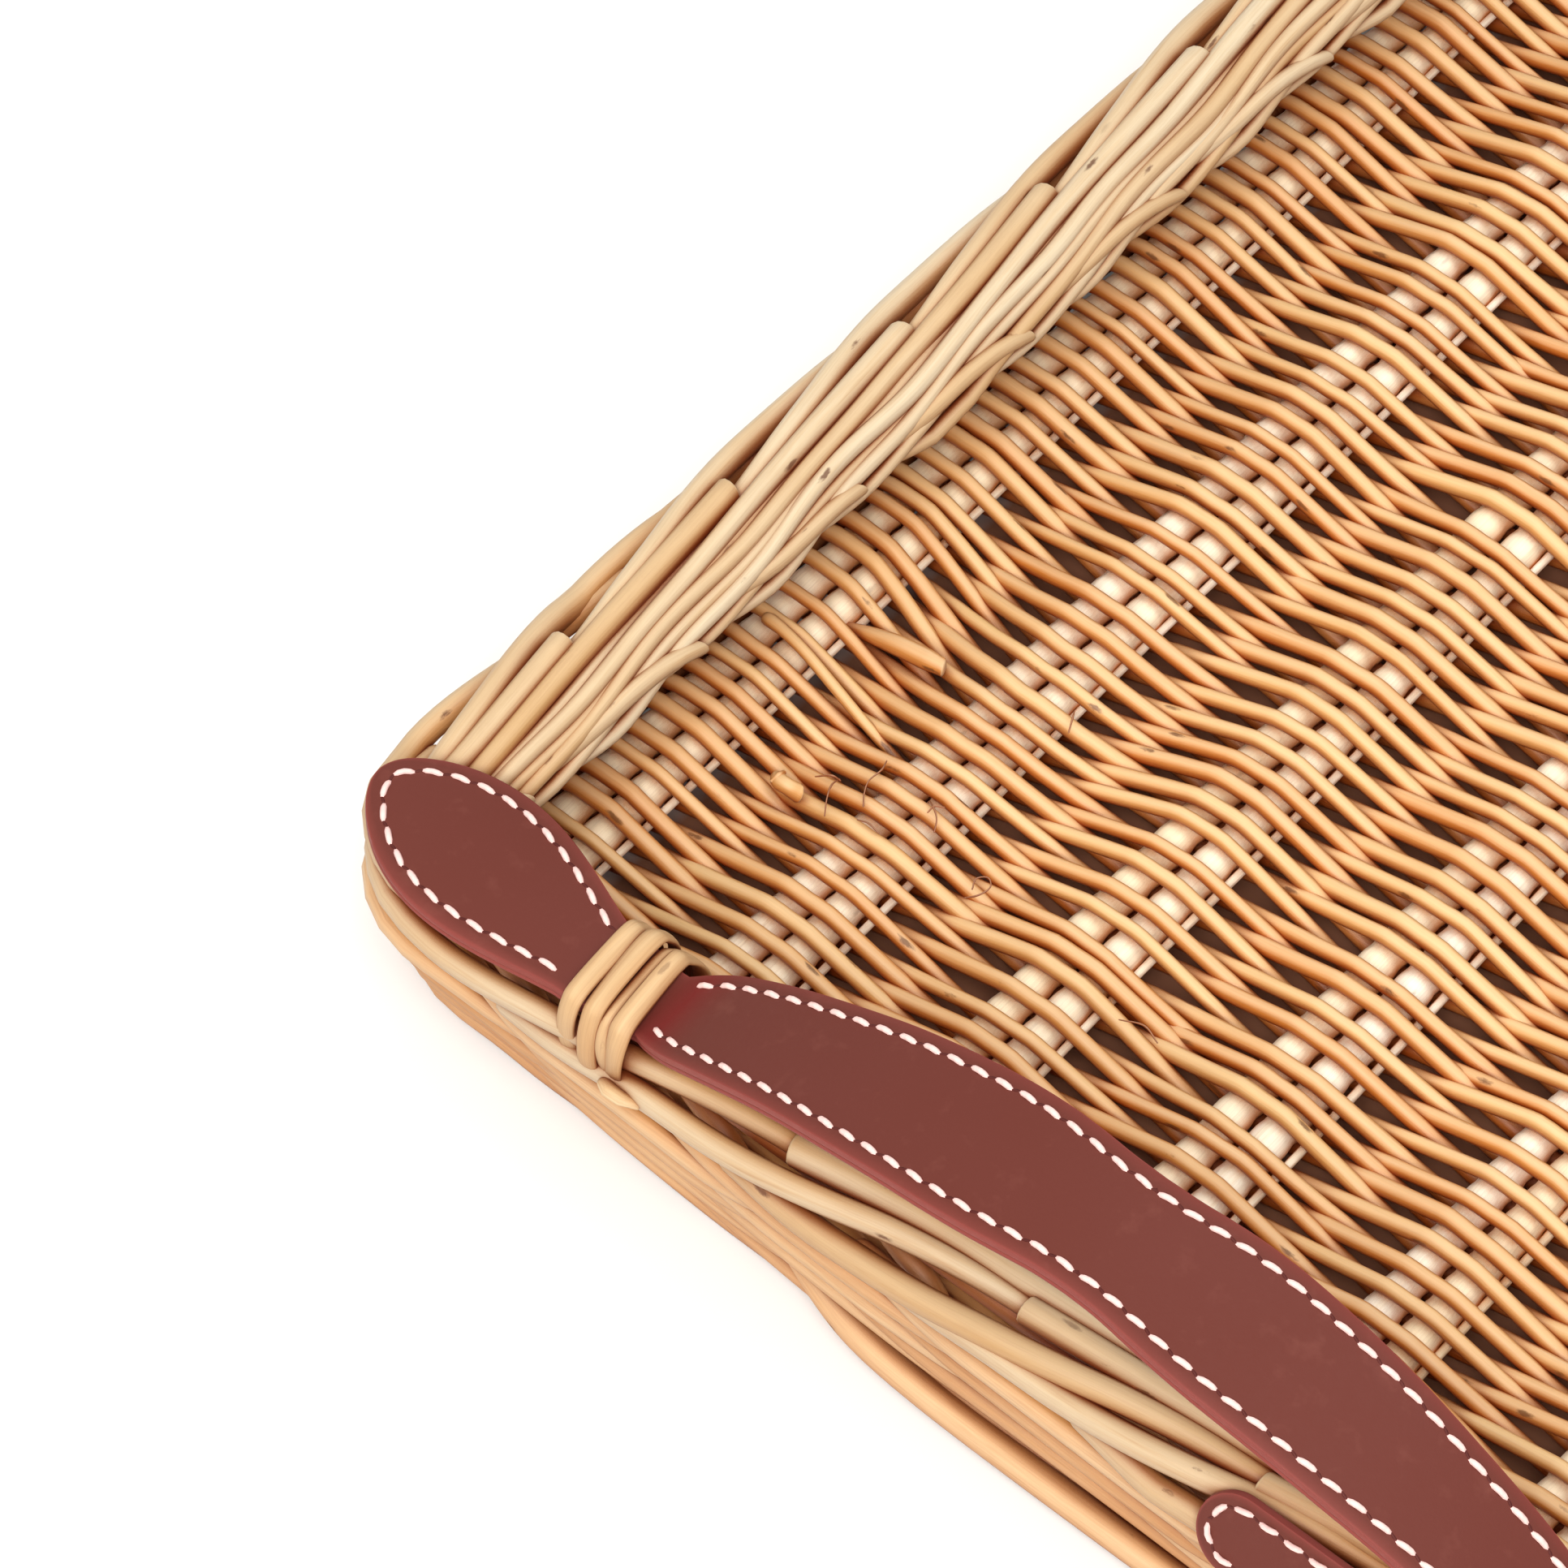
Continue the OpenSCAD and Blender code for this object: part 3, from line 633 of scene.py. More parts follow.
class BASKET_OT_floor(bpy.types.Operator):
    """Lay the paired sticks and weave the wefts over and under them"""
    bl_idname = "basket.floor"
    bl_label = "Floor"

    def execute(self, context):
        sticks = Bundle(0)
        rows = weave(sticks.random)
        for number, place in enumerate(PAIR_PLACES):
            lay_pair(sticks, place, rows[number % 2::2, number])
        finish = willow("peeled_stick", tint("stick"), linear(250, 232, 196), 0.3, 0.4,
                        shade=(206, 118, 30), crevice_shade=0.9, shade_below=0.46, sides=0.6, warm_shade=0.1)
        sticks.piece("floor_stick_pairs", finish, "tray", "willow_pale", "floor_sticks")
        finish = willow("floor_weft", tint("weft_pale"), tint("weft_tan"), 0.9, 0.46,
                        (128, 66, 22), shade=(140, 56, 2), crevice_shade=0.95, shade_below=0.85, sides=0.65,
                        warm_shade=0.4, top_highlight=0.6)
        knots = np.array([-WEFT_END, *PAIR_PLACES, WEFT_END])
        bends = [place + u for place in PAIR_PLACES for u, _ in WEFT_BEND]
        x = np.array([-WEFT_END, *[v for v in bends if abs(v) < WEFT_END - 1], WEFT_END])
        for start, node in ((1, "wefts_odd"), (-1, "wefts_even")):
            wefts = Bundle(1 + start)
            thick = mm("weft") / 2
            swing = [start * (-1) ** number * lift for number in range(PAIRS)
                     for _, lift in WEFT_BEND]
            z = FLOOR_Z + WEFT_SWING * np.interp(x, bends, swing)
            for row in rows[(1 - start) // 2::2]:
                y = smooth_through(knots, [row[0], *row, row[-1]], x)
                y += wander(wefts.random, len(x), 0.15, 18)
                butt = wefts.random.uniform(0.94, 1.12)
                width = thick * np.linspace(butt, butt - 0.16, len(x))
                if wefts.random.uniform() < 0.5:
                    width = width[::-1]
                wefts.rod(np.stack([x, y, z], -1), width, 10, ends=("cut", "cut"))
            if start > 0:
                for line, width, ends, tone in LOOSE_WEFTS:
                    wefts.rod(*drawn(line, width), 10, ends=ends, tone=tone, slant=0.3)
            wefts.piece(node + "_willow", finish, "tray", "willow_honey", node)
        torn = Bundle(3)
        for line in SPLINTERS:
            torn.rod(*drawn(line, (0.12, 0.2) + (0.14,) * (len(line) - 2)), 6)
        brown = linear(150, 82, 44)
        torn.piece("floor_splinters", willow("torn_bark", brown, linear(120, 58, 30)), "tray",
                   "willow_honey", "wefts_odd")
        return {"FINISHED"}


# Paths of the three rods of a bay: place in bays from the cut end, how far out, how far above
# the arch, and radius
BUTT_PATH = ((-4.45, -8.4, -5, 1.35), (-4.1, -10.6, -2.2, 1.45), (-3.7, -10, -0.6, 1.5),
             (-3, -7.6, -0.1, 1.65), (-2.5, -6, 0, 1.75), (-2, -4.4, 0, 1.9),
             (-1.5, -2.4, 0, 2), (-1, -0.3, 0, 2.2), (-0.5, 1.7, 0.1, 2.5),
             (0, 3.9, 0.2, 2.65))
RISER_PATH = ((-3.95, -8.6, -5, 1.1), (-3.6, -10.8, -2.4, 1.2), (-3.2, -9.6, -1.2, 1.35),
              (-2.5, -7.6, -1, 1.5), (-2, -6, -1, 1.6), (-1.5, -4.4, -1.1, 1.7),
              (-1, -2.4, -1.5, 1.75), (-0.5, -0.2, -2.4, 1.8), (-0.1, 1.7, -2.2, 1.95),
              (0.12, 2.8, -1, 2.05), (0.35, 4.3, 0.1, 2.2), (0.6, 6.1, 0.5, 2.35),
              (0.85, 8.2, 0.8, 2.4), (1.1, 9.8, 0.9, 2.45), (1.4, 10.8, 0.3, 2.45),
              (1.8, 11, -0.8, 2.45), (2.15, 10.4, -3.2, 2.4), (2.45, 9, -4.8, 2.3))
TIP_PATH = ((-0.45, -8.2, -2, 1.7), (-0.2, -8.9, -0.6, 1.75), (0, -9.5, 0.3, 1.7),
            (0.2, -10.3, 0.5, 1.6), (0.38, -11.1, 0.3, 1.5))
FIRST_CUT = 34.4
BUTT_THICK = 5.3
# The border's arch in section, and how far out the middle of a rod may lie
ARCH_FOOT, ARCH_RISE, ARCH_HALF, OUT_LIMIT = 37.2, 8.9, 11.9, 11.2
# Core rods inside the border: out, height and radius
CORE_RODS = ((-7.2, 39.4, 2.2), (-2.6, 40.8, 2.6), (2.2, 40.6, 2.4))
# Rods that spring away from the border beside the front left corner: where and how far
SPRUNG = {33: (10, 2.5), 34: (58, 1.4)}
SPRUNG_REACH = 26
# Bays whose cut end lies off its regular place
MOVED_CUTS = {30: -14, 31: -9, 32: -4.6}


def around(p, middle):
    """How far p lies from a place on the rim, the shorter way round."""
    return np.mod(p - middle + PERIMETER / 2, PERIMETER) - PERIMETER / 2


def arch_height(v):
    """Height of the middle of a rod that lies on the border's arch."""
    return ARCH_FOOT + ARCH_RISE * np.sqrt(np.clip(1 - (v / ARCH_HALF) ** 2, 0.02, 1))


def corner_share(p):
    """1 at the front end of each corner's arc, falling to 0 on both sides."""
    return np.exp(-(around(p[:, None], np.array(ARC_MIDDLES)) / 12) ** 2).max(1)


def lay_border_rod(rods, k, cut, path, ends):
    """Lays one of the three rods of bay k, whose butt is cut at a place along the rim."""
    random, tip = rods.random, path is TIP_PATH
    t, v, lift, width = np.transpose(path)
    if tip and random.uniform() < 0.2:
        t, v = t + 0.3, v * 0.25 - 2.6
    count = max(8, int((t[-1] - t[0]) * BAY / 3.2))
    at = np.linspace(t[0], t[-1], count)
    p = cut + at * BAY + (random.normal(0, 2.5) if tip else 0)
    out = smooth_through(t, v, at)
    phase = 2 * np.pi * ((p - FIRST_CUT) / BAY - 0.3)
    out += 0.4 * np.cos(phase) * np.clip((-out - 1) / 4, 0, 1)
    out += wander(random, count, 0.32, 2 + count // 9)
    out -= 2.3 * ramp(out, 4, 9) * corner_share(p)
    out = np.clip(out, -OUT_LIMIT, OUT_LIMIT)
    if path is RISER_PATH and k in SPRUNG:
        middle, by = SPRUNG[k]
        out += by * np.exp(-(around(p, middle) / SPRUNG_REACH)**2) * (at > 0)
    height = (arch_height(out) + smooth_through(t, lift, at)
              + wander(random, count, 0.2, 2 + count // 9))
    width = smooth_through(t, width, at) * random.uniform(0.92, 1.07) * (mm("butt") / BUTT_THICK)
    slant = 0.9 if tip else random.normal(0, 0.12)
    rods.rod(rim_line(p, out, height), width, 12, ends=ends, slant=slant)


class BASKET_OT_border(bpy.types.Operator):
    """Roll the border: rods that rise from the inner edge, cross the rim and end in cut butts"""
    bl_idname = "basket.border"
    bl_label = "Border"

    def execute(self, context):
        rods = Bundle(20)
        for k in range(BAYS):
            cut = FIRST_CUT + k * BAY + MOVED_CUTS.get(k, rods.random.normal(0, 1.3))
            lay_border_rod(rods, k, cut, BUTT_PATH, ("round", "cut"))
            lay_border_rod(rods, k, cut, RISER_PATH, ("round", "round"))
            lay_border_rod(rods, k, cut, TIP_PATH, ("round", "cut"))
        p = np.arange(0, PERIMETER, 5.2)
        for v, z, radius in CORE_RODS:
            rods.rod(rim_line(p, v + 0 * p, z + 0 * p), radius, 8, closed=True, tone=1.0)
        finish = willow("border_willow", tint("border_pale"), tint("border_tan"),
                        shade=(112, 44, 6), crevice_shade=0.95)
        rods.piece("border_rods", finish, "tray", "willow_pale",
                   *all_round("border", "corner_border"))
        return {"FINISHED"}


# Heights of the wall's rounds of strands, and how far out a strand lies before and behind a stake
ROUNDS = 4
FIRST_ROUND, ROUND_RISE = 4.3, 8.72
STRAND_FRONT, STRAND_LIMIT = 9.25, 9.8
STRAND_BEHIND = (6.1, 6.1, 1.4, 1.4)
# Where the first strand starts before the back right corner, and steps to the next ones
STRAND_START, STRAND_STEP, ROUND_STEP = 60, 31, 17
# Path of a stake that bends over into the border: along the rim, out and up
STAKE_PATH = ((0, 5.2, 2.6), (0, 5.2, 12), (0, 5.2, 24), (0, 5.2, 33), (2.5, 4.9, 36.5),
              (8, 3.6, 37.4), (17, 0.8, 37.3))
STAKE_R = 2.05
# Thicker rods along the foot of the short sides, given for the front: lines, radii and ends
FOOT_RODS = (
    (((-70, -226.8, 11.5), (-60, -230, 9.2), (-48, -232.9, 7), (-34, -234, 5.6),
      (-10, -234.3, 4.9), (40, -234.3, 4.7), (95, -233.4, 4.6), (128, -229.5, 4.6)),
     (1.9, 2.6, 2.9, 2.9, 2.9, 2.8, 2.7, 2.3), ("cut", "round")),
    (((-62.6, -229, 22), (-62.2, -230.2, 17.5), (-61.2, -229.8, 12)), (1.7, 1.9, 1.9),
     ("cut", "round")))


def strand_run(places, level, strand):
    """Where a wall strand runs behind one stake and before the next two: along, out and up."""
    count = len(places)
    keys, out, height = [], [], []
    for j in range(-2, count + 3):
        state = (j + strand + level) % 3
        jog = 0.25 * math.sin(7.1 * (j % count) + 3 * strand + level)
        keys.append(places[j % count] + (j // count) * PERIMETER)
        out.append(STRAND_FRONT + jog if state else STRAND_BEHIND[level])
        height.append(FIRST_ROUND + ROUND_RISE * level + (0, -2.1, 2.1)[state])
    first = SIDE_ENDS[1] - STRAND_START - STRAND_STEP * strand - ROUND_STEP * level
    p = np.mod(first + np.arange(-9, PERIMETER + 9, 3.3), PERIMETER)
    return p, smooth_through(keys, out, p) + 1.1 * corner_share(p), smooth_through(keys, height, p)


class BASKET_OT_wall(bpy.types.Operator):
    """Set the stakes and wale the wall round them, three strands to a round"""
    bl_idname = "basket.wall"
    bl_label = "Wall"

    def execute(self, context):
        places = stake_places()
        wall = Bundle(40)
        radius = mm("strand") / 2
        for level in range(ROUNDS):
            for strand in range(3):
                p, v, z = strand_run(places, level, strand)
                sway = wander(wall.random, len(p), 0.3, 60)
                line = leaned(rim_line(p, np.minimum(v, STRAND_LIMIT) + 0.5 * sway, z + sway))
                line[:, 2] = np.maximum(line[:, 2], 1.16 * radius)
                width = radius * (1 + 0.3 * wander(wall.random, len(p), 0.3, 25))
                wall.rod(line, np.clip(width, 0.85 * radius, 1.16 * radius), 10,
                         ends=("cut", "cut"))
        for line, width, ends in FOOT_RODS:
            path, width = drawn(line, width, 9)
            for way in (1, -1):
                wall.rod(path * (way, way, 1), width, 12, ends=ends)
        finish = willow("wall_willow", tint("wall_pale"), tint("wall_tan"), rough=0.52)
        wall.piece("wall_strands", finish, "tray", "willow_tan", *all_round("wall", "corner_wall"))
        stakes = Bundle(60)
        steps, at = np.arange(len(STAKE_PATH)), np.linspace(0, len(STAKE_PATH) - 1, 26)
        t, v, z = (smooth_through(steps, c, at) for c in np.transpose(STAKE_PATH))
        for place in places:
            _, out = rim_frame([place])
            stakes.rod(leaned(rim_line(place + t, v, z)), STAKE_R, 8, hint=(*out[0], 0.35))
        stakes.piece("wall_stakes", finish, "tray", "willow_pale",
                     *all_round("stakes", "corner_post"))
        return {"FINISHED"}


# ---------------------------------------------------------------- leather

# Radius and centre of the grip's arch, and the strap's height over the rim
ARCH_R, ARCH_Z = 161.2, RIM_TOP - 132.27
STRAP_GAP = 0.2
# Half width of the neck at its two ends
NECK_LEAF, NECK_GRIP = 8.7, 7.0
# Where the leather is flushed red, and how far that reaches
FLUSH_PLACE, FLUSH_REACH = 87.5, 7.5
# How far the stitch line lies in from the strap's edge and from the tag's
STITCH_INSET, TAG_INSET = 3.0, 2.4

# Half width of the grip at places from its middle to the neck
GRIP_SHAPE = ((0, 12.5), (6, 12.7), (12, 13.3), (18, 13.8), (24, 14), (36, 13.7), (48, 13.1),
              (60, 12.1), (72, 11.2), (78, 10.6), (84, 9.7), (88, 8.5), (91.8, 7))


def grip_half_width(a):
    """Half width of the grip, a mm from its middle."""
    return smooth_through(*np.transpose(GRIP_SHAPE), a)


def leaf_half_width(t):
    """Half width of a leaf end, t from 0 at its neck to 1 at its tip."""
    return (NECK_LEAF + 5.4 * np.sin(np.pi * t**1.1)) * np.sqrt(np.clip(1 - t**8, 0, 1))


def strap_outline():
    """Stations along half a strap, from the middle of the grip to the leaf's tip."""
    grip = np.linspace(0, GRIP_END, 64)
    neck = np.linspace(GRIP_END, LEAF_START, 9)[1:]
    t = np.sin(np.linspace(0, np.pi / 2, 44))[1:]
    reach = np.concatenate([grip, neck, LEAF_START + LEAF_LEN * t])
    narrow = ramp(LEAF_START - neck, 0, LEAF_START - GRIP_END)
    half = np.concatenate([grip_half_width(grip), NECK_LEAF - (NECK_LEAF - NECK_GRIP) * narrow,
                           leaf_half_width(t)])
    return reach, half


def inset(reach, half, by):
    """An outline moved in from its edge; it starts at the strap's middle or at a round tip."""
    along, across = np.gradient(reach), np.gradient(half)
    along[-1], across[-1] = 0.0, -1.0
    along[0], across[0] = (1.0, 0.0) if half[0] > 1 else (0.0, 1.0)
    length = np.hypot(along, across)
    return reach + across / length * by, np.maximum(half - along / length * by, 0)


# Fine steps along the strap's middle line, for the curves that carry it
FINE = np.linspace(0, 165, 1651)


def strap_heights():
    """Underside of the strap over its length: the arch, softly bent into the flat neck."""
    high = ARCH_Z + np.sqrt(np.clip(ARCH_R**2 - FINE**2, 0, None))
    high = np.where(FINE < GRIP_END, high, RIM_TOP + STRAP_GAP)
    weights = np.hanning(81)
    soft = np.convolve(np.pad(high, 40, mode="edge"), weights / weights.sum(), "valid")
    return np.where(FINE < 70, high, soft)


# Heights and slopes of the strap, its turn at the leaf, and where its middle line runs
HEIGHTS = strap_heights()
SLOPES = np.gradient(HEIGHTS, FINE)
TURNS = math.radians(LEAF_TURN) * ramp(FINE, 103, 113)
ALONG = np.concatenate([[0], np.cumsum(np.cos(TURNS[:-1]) * np.diff(FINE))])
ASIDE = np.concatenate([[0], np.cumsum(np.sin(TURNS[:-1]) * np.diff(FINE))])


def on_strap(reach, across, lift):
    """Places in a handle's own frame: +X along the side, +Y into the tray, in millimetres."""
    turn, slope = (np.interp(reach, FINE, c) for c in (TURNS, SLOPES))
    tilt = 1 / np.sqrt(1 + slope**2)
    droop = 0.0052 * across**2 * ramp(reach, 100, 116) + 1.2 * ramp(reach, 122, 162)
    x = np.interp(reach, FINE, ALONG) - across * np.sin(turn) - slope * tilt * lift
    y = np.interp(reach, FINE, ASIDE) + across * np.cos(turn)
    z = np.interp(reach, FINE, HEIGHTS) + tilt * lift - droop
    return np.stack([x, y, z], -1)


def placed(points, end, side):
    """From a handle's own frame to the tray's: end is front or back, side left or right."""
    turned = points.copy()
    if side == "left":
        turned[..., 0] *= -1
    turned[..., 1] -= RIM_Y
    if end == "back":
        turned[..., :2] *= -1
    return turned


def band(name, outline, low, high, place, material, slot, *nodes):
    """A sheet of leather with soft cut edges, between two heights over its own surface."""
    reach, half = outline
    thick = high - low
    soft = min(0.5, thick * 0.42)
    shares = np.linspace(-1, 1, 15)[1:-1]
    rim = ((soft, high, 0.35), (soft * 0.3, high - soft * 0.3, 0.9), (0, high - thick / 2, 1),
           (soft * 0.3, low + soft * 0.3, 1), (soft, low, 0.6))
    rows = []
    for by, share, lift, paint in (*((soft, share, high, 0.0) for share in shares),
                                   *((by, 1, lift, paint) for by, lift, paint in rim),
                                   *((soft, share, low, 0.0) for share in shares[::-2]),
                                   *((by, -1, lift, paint) for by, lift, paint in rim[::-1])):
        along, across = inset(reach, half, by)
        rows.append((along, across * share, lift, paint))
    points = np.stack([place(r, a, lift) for r, a, lift, _ in rows], 1)
    n, m = points.shape[:2]
    index = np.arange(n * m).reshape(n, m)
    here, over = index[:-1], np.roll(index, -1, 1)[:-1]
    nxt, nxt_over = index[1:], np.roll(index, -1, 1)[1:]
    faces = np.stack([here, over, nxt_over, nxt], -1).reshape(-1, 4).tolist()
    faces.append(index[0].tolist()[::-1])
    faces.append(index[-1].tolist())
    mesh = bpy.data.meshes.new(name)
    mesh.from_pydata((points.reshape(-1, 3) * MM).tolist(), [], faces)
    mark(mesh, "edge", np.tile([row[3] for row in rows], n))
    away = np.repeat(np.abs(reach - FLUSH_PLACE), m)
    mark(mesh, "flush", np.clip(1 - away / FLUSH_REACH, 0, 1) ** 1.5)
    made = dress(name, mesh, material, None, slot, *nodes)
    edited(made, bpy.ops.mesh.normals_make_consistent, inside=False)
    bpy.ops.object.shade_smooth_by_angle(angle=math.radians(50))
    made.select_set(False)
    return made


def bend_at_neck(piece):
    """Bakes the piece's placement into its mesh points."""
    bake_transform(piece)


def there_and_back(edge):
    """A line along one edge and back along the other."""
    return np.concatenate([edge, (edge * (1, -1))[::-1]])


def sew(stitches, holes, line, place, lift):
    """Lays stitches on a line of (reach, across) points, each into its slanted needle holes, drawn
    as dark slivers of painted shade.
    """
    solid = place(line[:, 0], line[:, 1], lift)
    run = np.concatenate([[0], np.cumsum(np.linalg.norm(np.diff(solid, axis=0), axis=1))])
    way = unit(np.gradient(line, axis=0)) @ np.array([[0, 1], [-1, 0]])
    count, length = int(run[-1] // STITCH_PITCH), mm("stitch")
    spare = 0 if abs(line[0, 0]) < 1 else (run[-1] - count * STITCH_PITCH) / 2
    first = spare + (STITCH_PITCH - length) / 2

    def strand(bundle, start, end, slant, bow, radius, flat):
        at = np.linspace(start, end, len(bow))
        reach, across, dx, dy = (np.interp(at, run, c) for c in (*line.T, *way.T))
        aside = np.linspace(-slant, slant, len(bow))
        path = place(reach + dx * aside, across + dy * aside, lift + np.array(bow))
        bundle.rod(path, radius, 6, hint=up, flat=flat)

    up = place(np.zeros(1), np.zeros(1), 1.0)[0] - place(np.zeros(1), np.zeros(1), 0.0)[0]
    for k in range(count):
        start = first + k * STITCH_PITCH
        strand(stitches, start, start + length, 0.22, (-0.42, 0.1, 0.24, 0.1, -0.42),
               np.array([0.4, 0.54, 0.57, 0.54, 0.4]), 0.85)
        # Needle hole: a dark sliver between two stitches, painted shade where the hole would be
        strand(holes, start - STITCH_PITCH + length - 0.45, start + 0.45, -0.28,
               (0.0, 0.03, 0.0), np.array([0.16, 0.26, 0.16]), 0.3)


class BASKET_OT_leather(bpy.types.Operator):
    """Cut the two straps, line them, paint their edges and sew them with a saddle stitch"""
    bl_idname = "basket.leather"
    bl_label = "Leather"

    def execute(self, context):
        face = leather_face("leather_face", tint("leather"), tint("edge"))
        lining = leather_face("leather_lining", linear(118, 60, 50), tint("edge"))
        thread = thread_finish(tint("thread"))
        # Painted shade of the needle holes
        dark = leather_face("pricked_leather", linear(74, 24, 20), linear(74, 24, 20))
        outline = strap_outline()
        backed = mm("lining")
        top = backed + mm("leather")
        for end, side in HALF_STRAPS:
            def place(reach, across, lift):
                return placed(on_strap(reach, across, lift), end, side)
            strap = band(f"{end}_strap_{side}", outline, backed + 0.02, top, place, face,
                         "leather", f"{end}_leaf_{side}", f"{end}_grip")
            under = band(f"{end}_strap_{side}_lining", outline, 0.0, backed, place, lining,
                         "leather_lining", f"{end}_leaf_{side}_lining", f"{end}_grip_lining")
            sewn, pricked = Bundle(80), Bundle(81)
            reach, half = inset(*outline, STITCH_INSET)
            grip = reach < GRIP_END
            leaf = (reach > LEAF_START) & (half > 0.05)
            lines = [np.stack([reach[grip], sign * half[grip]], -1) for sign in (-1, 1)]
            edge = np.stack([reach[leaf], half[leaf]], -1)
            for line in (*lines, there_and_back(edge)):
                sew(sewn, pricked, line, place, top)
            stitches = sewn.piece(f"{end}_stitches_{side}", thread, None, "thread",
                                  f"{end}_grip_stitching", f"{end}_leaf_stitching")
            holes = pricked.piece(f"{end}_needle_holes_{side}", dark, None, "leather",
                                  f"{end}_grip_stitching")
            for piece in (strap, under, stitches, holes):
                bend_at_neck(piece)
        return {"FINISHED"}


# One turn of a lashing, round the strap and the border: out from the middle line and up
LOOP = ((0, 35.4), (-6, 35.2), (-11.2, 35.7), (-13.2, 38.2), (-13.4, 42.4), (-12.2, 46.6),
        (-10, 50.2), (-7.4, 52.5), (0, 53), (7, 52.8), (9.2, 50.8), (10.4, 47.6),
        (10.7, 44.2), (10.4, 41.4), (9.2, 38.6), (5.6, 36.2))
LOOP_MIDDLE = 43.5
# Turns of a lashing: place along the side, slant towards the grip, share of the width and layer
TURNS_LAID = ((105, 1.2, 0.95, 0.1), (100.7, 1.6, 0.95, 0.6), (97.6, 0.9, 0.66, -0.2),
              (95.1, 1.1, 0.95, 0.3))
# Tucked end of a lashing: points in the handle's own frame, and radii
TAIL = ((94.6, -12.4, 41.6), (92.6, -13.4, 42.4), (90.2, -13.3, 42.2), (87.6, -12, 41.2))
TAIL_RADII = (1.2, 1.5, 1.4, 0.9)


class BASKET_OT_lashings(bpy.types.Operator):
    """Wind four turns of split willow round the strap and the border at each neck"""
    bl_idname = "basket.lashings"
    bl_label = "Lashings"

    def execute(self, context):
        finish = willow("split_skein", tint("skein"), linear(186, 144, 96), 0.5, 0.6,
                        (116, 74, 42), crevice_shade=0.95)
        half = mm("skein") / 2
        ring = LOOP + LOOP[:2]
        at = np.linspace(0, len(LOOP), 64, endpoint=False)
        v, z = (smooth_through(np.arange(len(ring)), c, at) for c in np.transpose(ring))
        way = unit(np.stack([v, z - LOOP_MIDDLE], -1))
        for end, side in HALF_STRAPS:
            lashing = Bundle(100)
            for k, (reach, slant, width, layer) in enumerate(TURNS_LAID):
                bulge = layer + 0.25 * np.sin(at * 0.9 + 2.1 * k)
                out, high = v + way[:, 0] * bulge, z + way[:, 1] * bulge
                x = reach - slant * v / 12 + 0.35 * np.sin(at * 0.7 + 1.3 * k)
                line = placed(np.stack([x, -out, high], -1), end, side)
                tip = placed(np.stack([x, -out - way[:, 0], high + way[:, 1]], -1), end, side)
                radius = half * width * (1 + 0.1 * np.sin(at * 0.8 + 2 * k))
                twist = 0.22 * np.sin(at * 0.8 + k * 1.7)
                lashing.rod(line, radius, 12, hint=tip - line, flat=0.36, twist=twist,
                            closed=True)
            lashing.rod(placed(np.array(TAIL), end, side), TAIL_RADII, 10, flat=0.5,
                        ends=("round", "cut"))
            lashing.piece(f"{end}_lashing_{side}_skein", finish, "tray", "willow_skein",
                          f"{end}_lashing_{side}")
        return {"FINISHED"}


# Tag: lean of its face, how far its middle lies out from the frame's, end radius and thickness
TAG_TILT = math.radians(28)
TAG_OUT, TAG_ARC, TAG_THICK = 0.1, 7.5, 1.8


class BASKET_OT_tag(bpy.types.Operator):
    """Cut and sew the small bare leather tag on the front shoulder"""
    bl_idname = "basket.tag"
    bl_label = "Tag"

    def execute(self, context):
        low, high = (Vector(c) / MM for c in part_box("tag"))
        out = np.array([0, -math.cos(TAG_TILT), math.sin(TAG_TILT)])
        up = np.array([0, math.sin(TAG_TILT), math.cos(TAG_TILT)])
        base = np.array((low + high) / 2) + out * TAG_OUT

        def place(reach, across, lift):
            reach, across, lift = np.broadcast_arrays(reach, across, lift)
            return (base + reach[..., None] * np.array([1.0, 0, 0]) + across[..., None] * up
                    + lift[..., None] * out)
        end = (high - low).x / 2 - TAG_ARC
        angle = np.linspace(0, np.pi / 2, 14)
        straight = np.linspace(-end, end, 12)[1:-1]
        reach = np.concatenate([-end - TAG_ARC * np.cos(angle), straight,
                                end + TAG_ARC * np.sin(angle)])
        half = np.concatenate([TAG_ARC * np.sin(angle), 0 * straight + TAG_ARC,
                               TAG_ARC * np.cos(angle)])
        outline = reach, np.maximum(half, 0.02)
        materials = bpy.data.materials
        tag = band("leather_tag", outline, 0.0, TAG_THICK, place, materials["leather_face"],
                   "leather", "tag")
        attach(tag, "tray")
        sewn, pricked = Bundle(120), Bundle(121)
        edge = np.stack(inset(*outline, TAG_INSET), -1)
        sew(sewn, pricked, there_and_back(edge), place, TAG_THICK)
        pricked.piece("tag_needle_holes", materials["pricked_leather"], "tray", "leather",
                      "tag_stitching")
        sewn.piece("tag_stitches", materials["waxed_thread"], "tray", "thread", "tag_stitching")
        return {"FINISHED"}


# Lamps that face the tray: name, place in metres, size, power and tint
LAMPS = (("key", (0.5, -1.0, 1.4), 1.0, 30.0, (1.0, 0.985, 0.96)),
         ("top", (0.25, 0.5, 1.9), 1.2, 11.0, (1.0, 0.99, 0.975)),
         ("fill", (-1.0, -1.1, 1.1), 1.6, 6.0, (1.0, 0.985, 0.96)))
SKY_TINT, SKY_STRENGTH = (1.0, 0.99, 0.975, 1), 0.66
# Half sizes of the tray's footprint, where the floor is painted a brown shadow and the glow is
# left out, in metres
SHADE_X, SHADE_Y = 0.150, 0.216
CAMERA_LENS = 147.67
CAMERA_PLACE = (0.2958, -0.6396, 0.9201)
CAMERA_AXES = ((0.76068628, 0.64905193, -0.00937908), (-0.52724456, 0.62622781, 0.57432735),
               (0.37864172, -0.43193787, 0.81857201))


def stand(scene, name, data):
    """Puts a lamp or a camera in the scene."""
    made = bpy.data.objects.new(name, data)
    scene.collection.objects.link(made)
    return made


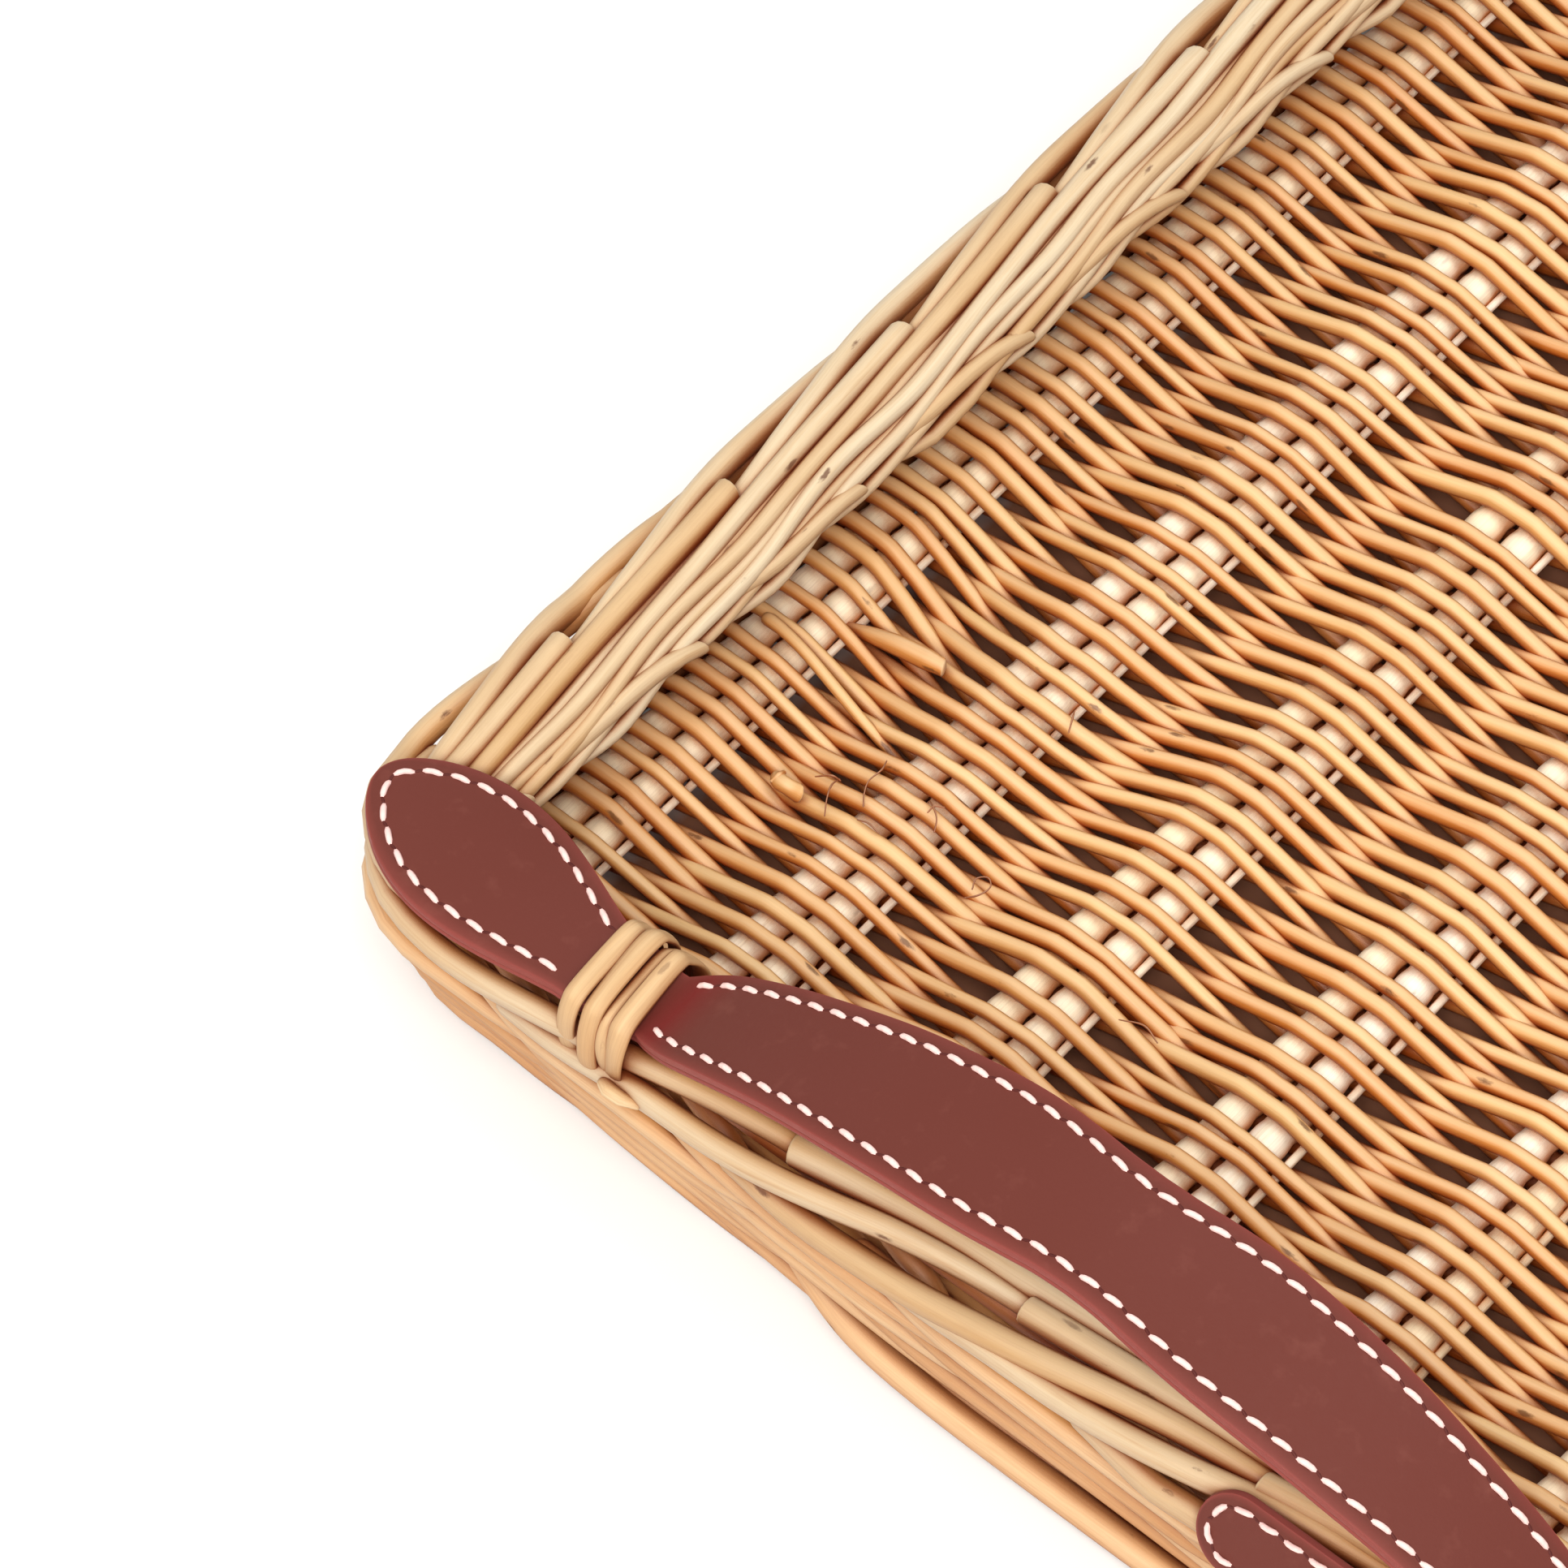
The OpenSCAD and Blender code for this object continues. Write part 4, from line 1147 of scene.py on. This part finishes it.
class BASKET_OT_stage(bpy.types.Operator):
    """Set the pale floor with a painted brown shadow under the tray, the soft studio light and the
    camera
    """
    bl_idname = "basket.stage"
    bl_label = "Stage"

    def execute(self, context):
        scene = context.scene
        bpy.ops.object.select_all(action="DESELECT")
        bpy.ops.mesh.primitive_plane_add(size=6.0, location=(0, 0, -0.0002))
        floor = context.active_object
        floor.name = "studio_floor"
        s = Shader("studio_floor")
        direct = s.node("LightPath", output="Is Camera Ray")
        place = s.node("TexCoord", output="Object")
        reach = s.node("VectorMath", {"operation": "ABSOLUTE"}, {
            0: s.stretched(place, (1 / SHADE_X, 1 / SHADE_Y, 0))})
        x, y = (s.node("SeparateXYZ", {}, {0: reach}, n) for n in (0, 1))
        # Painted shadow: the floor turns brown under the tray, seen through the gaps of its weave
        under = 1 - s.maths("MAXIMUM", x, y).clamped(0.92, 1.04)
        tone = s.mix(under, tint("ground"), linear(124, 82, 62))
        paper = s.node("BsdfDiffuse", {}, {"Color": tone})
        glow = s.node("Emission", {}, {"Color": (1, 1, 1, 1), "Strength": 1.0})
        floor.data.materials.append(s.finished(s.node("MixShader", {}, {
            0: direct * 0.05 * (1 - under), 1: paper, 2: glow})))
        world = bpy.data.worlds.new("studio")
        world.use_nodes = True
        sky = world.node_tree.nodes["Background"].inputs
        sky["Color"].default_value = SKY_TINT
        sky["Strength"].default_value = SKY_STRENGTH
        scene.world = world
        for name, place, width, power, white in LAMPS:
            lamp = bpy.data.lights.new(name, "AREA")
            lamp.shape, lamp.size, lamp.energy, lamp.color = "SQUARE", width, power, white
            holder = stand(scene, name, lamp)
            holder.location = place
            holder.rotation_euler = (-Vector(place)).to_track_quat("-Z", "Y").to_euler()
        data = bpy.data.cameras.new("camera")
        data.lens, data.sensor_width = CAMERA_LENS, 36.0
        data.clip_start, data.clip_end = 0.05, 20.0
        scene.camera = stand(scene, "camera", data)
        turn = Matrix(CAMERA_AXES).transposed().to_4x4()
        scene.camera.matrix_world = Matrix.Translation(CAMERA_PLACE) @ turn
        scene.view_settings.view_transform = "Standard"
        return {"FINISHED"}


OPERATORS = (BASKET_OT_stage, BASKET_OT_floor, BASKET_OT_wall, BASKET_OT_border,
             BASKET_OT_leather, BASKET_OT_lashings, BASKET_OT_tag)


class VIEW3D_PT_basket(bpy.types.Panel):
    """Sizes, colours and steps of the basket"""
    bl_label = "Willow Tray Basket"
    bl_idname = "VIEW3D_PT_basket"
    bl_space_type = "VIEW_3D"
    bl_region_type = "UI"
    bl_category = "Basket"

    def draw(self, context):
        for group in (context.scene.basket_sizes, context.scene.basket_colours):
            box = self.layout.box()
            for name in group.__annotations__:
                box.prop(group, name)
        for operator in OPERATORS:
            self.layout.operator(operator.bl_idname)


CLASSES = (BasketSizes, BasketColours, *OPERATORS, VIEW3D_PT_basket)


def register():
    for made in CLASSES:
        bpy.utils.register_class(made)
    bpy.types.Scene.basket_sizes = PointerProperty(type=BasketSizes)
    bpy.types.Scene.basket_colours = PointerProperty(type=BasketColours)


def unregister():
    del bpy.types.Scene.basket_colours
    del bpy.types.Scene.basket_sizes
    for made in reversed(CLASSES):
        bpy.utils.unregister_class(made)


def main():
    """Builds the whole basket."""
    register()
    for operator in OPERATORS:
        group, name = operator.bl_idname.split(".")
        getattr(getattr(bpy.ops, group), name)()


if __name__ == "__main__":
    main()
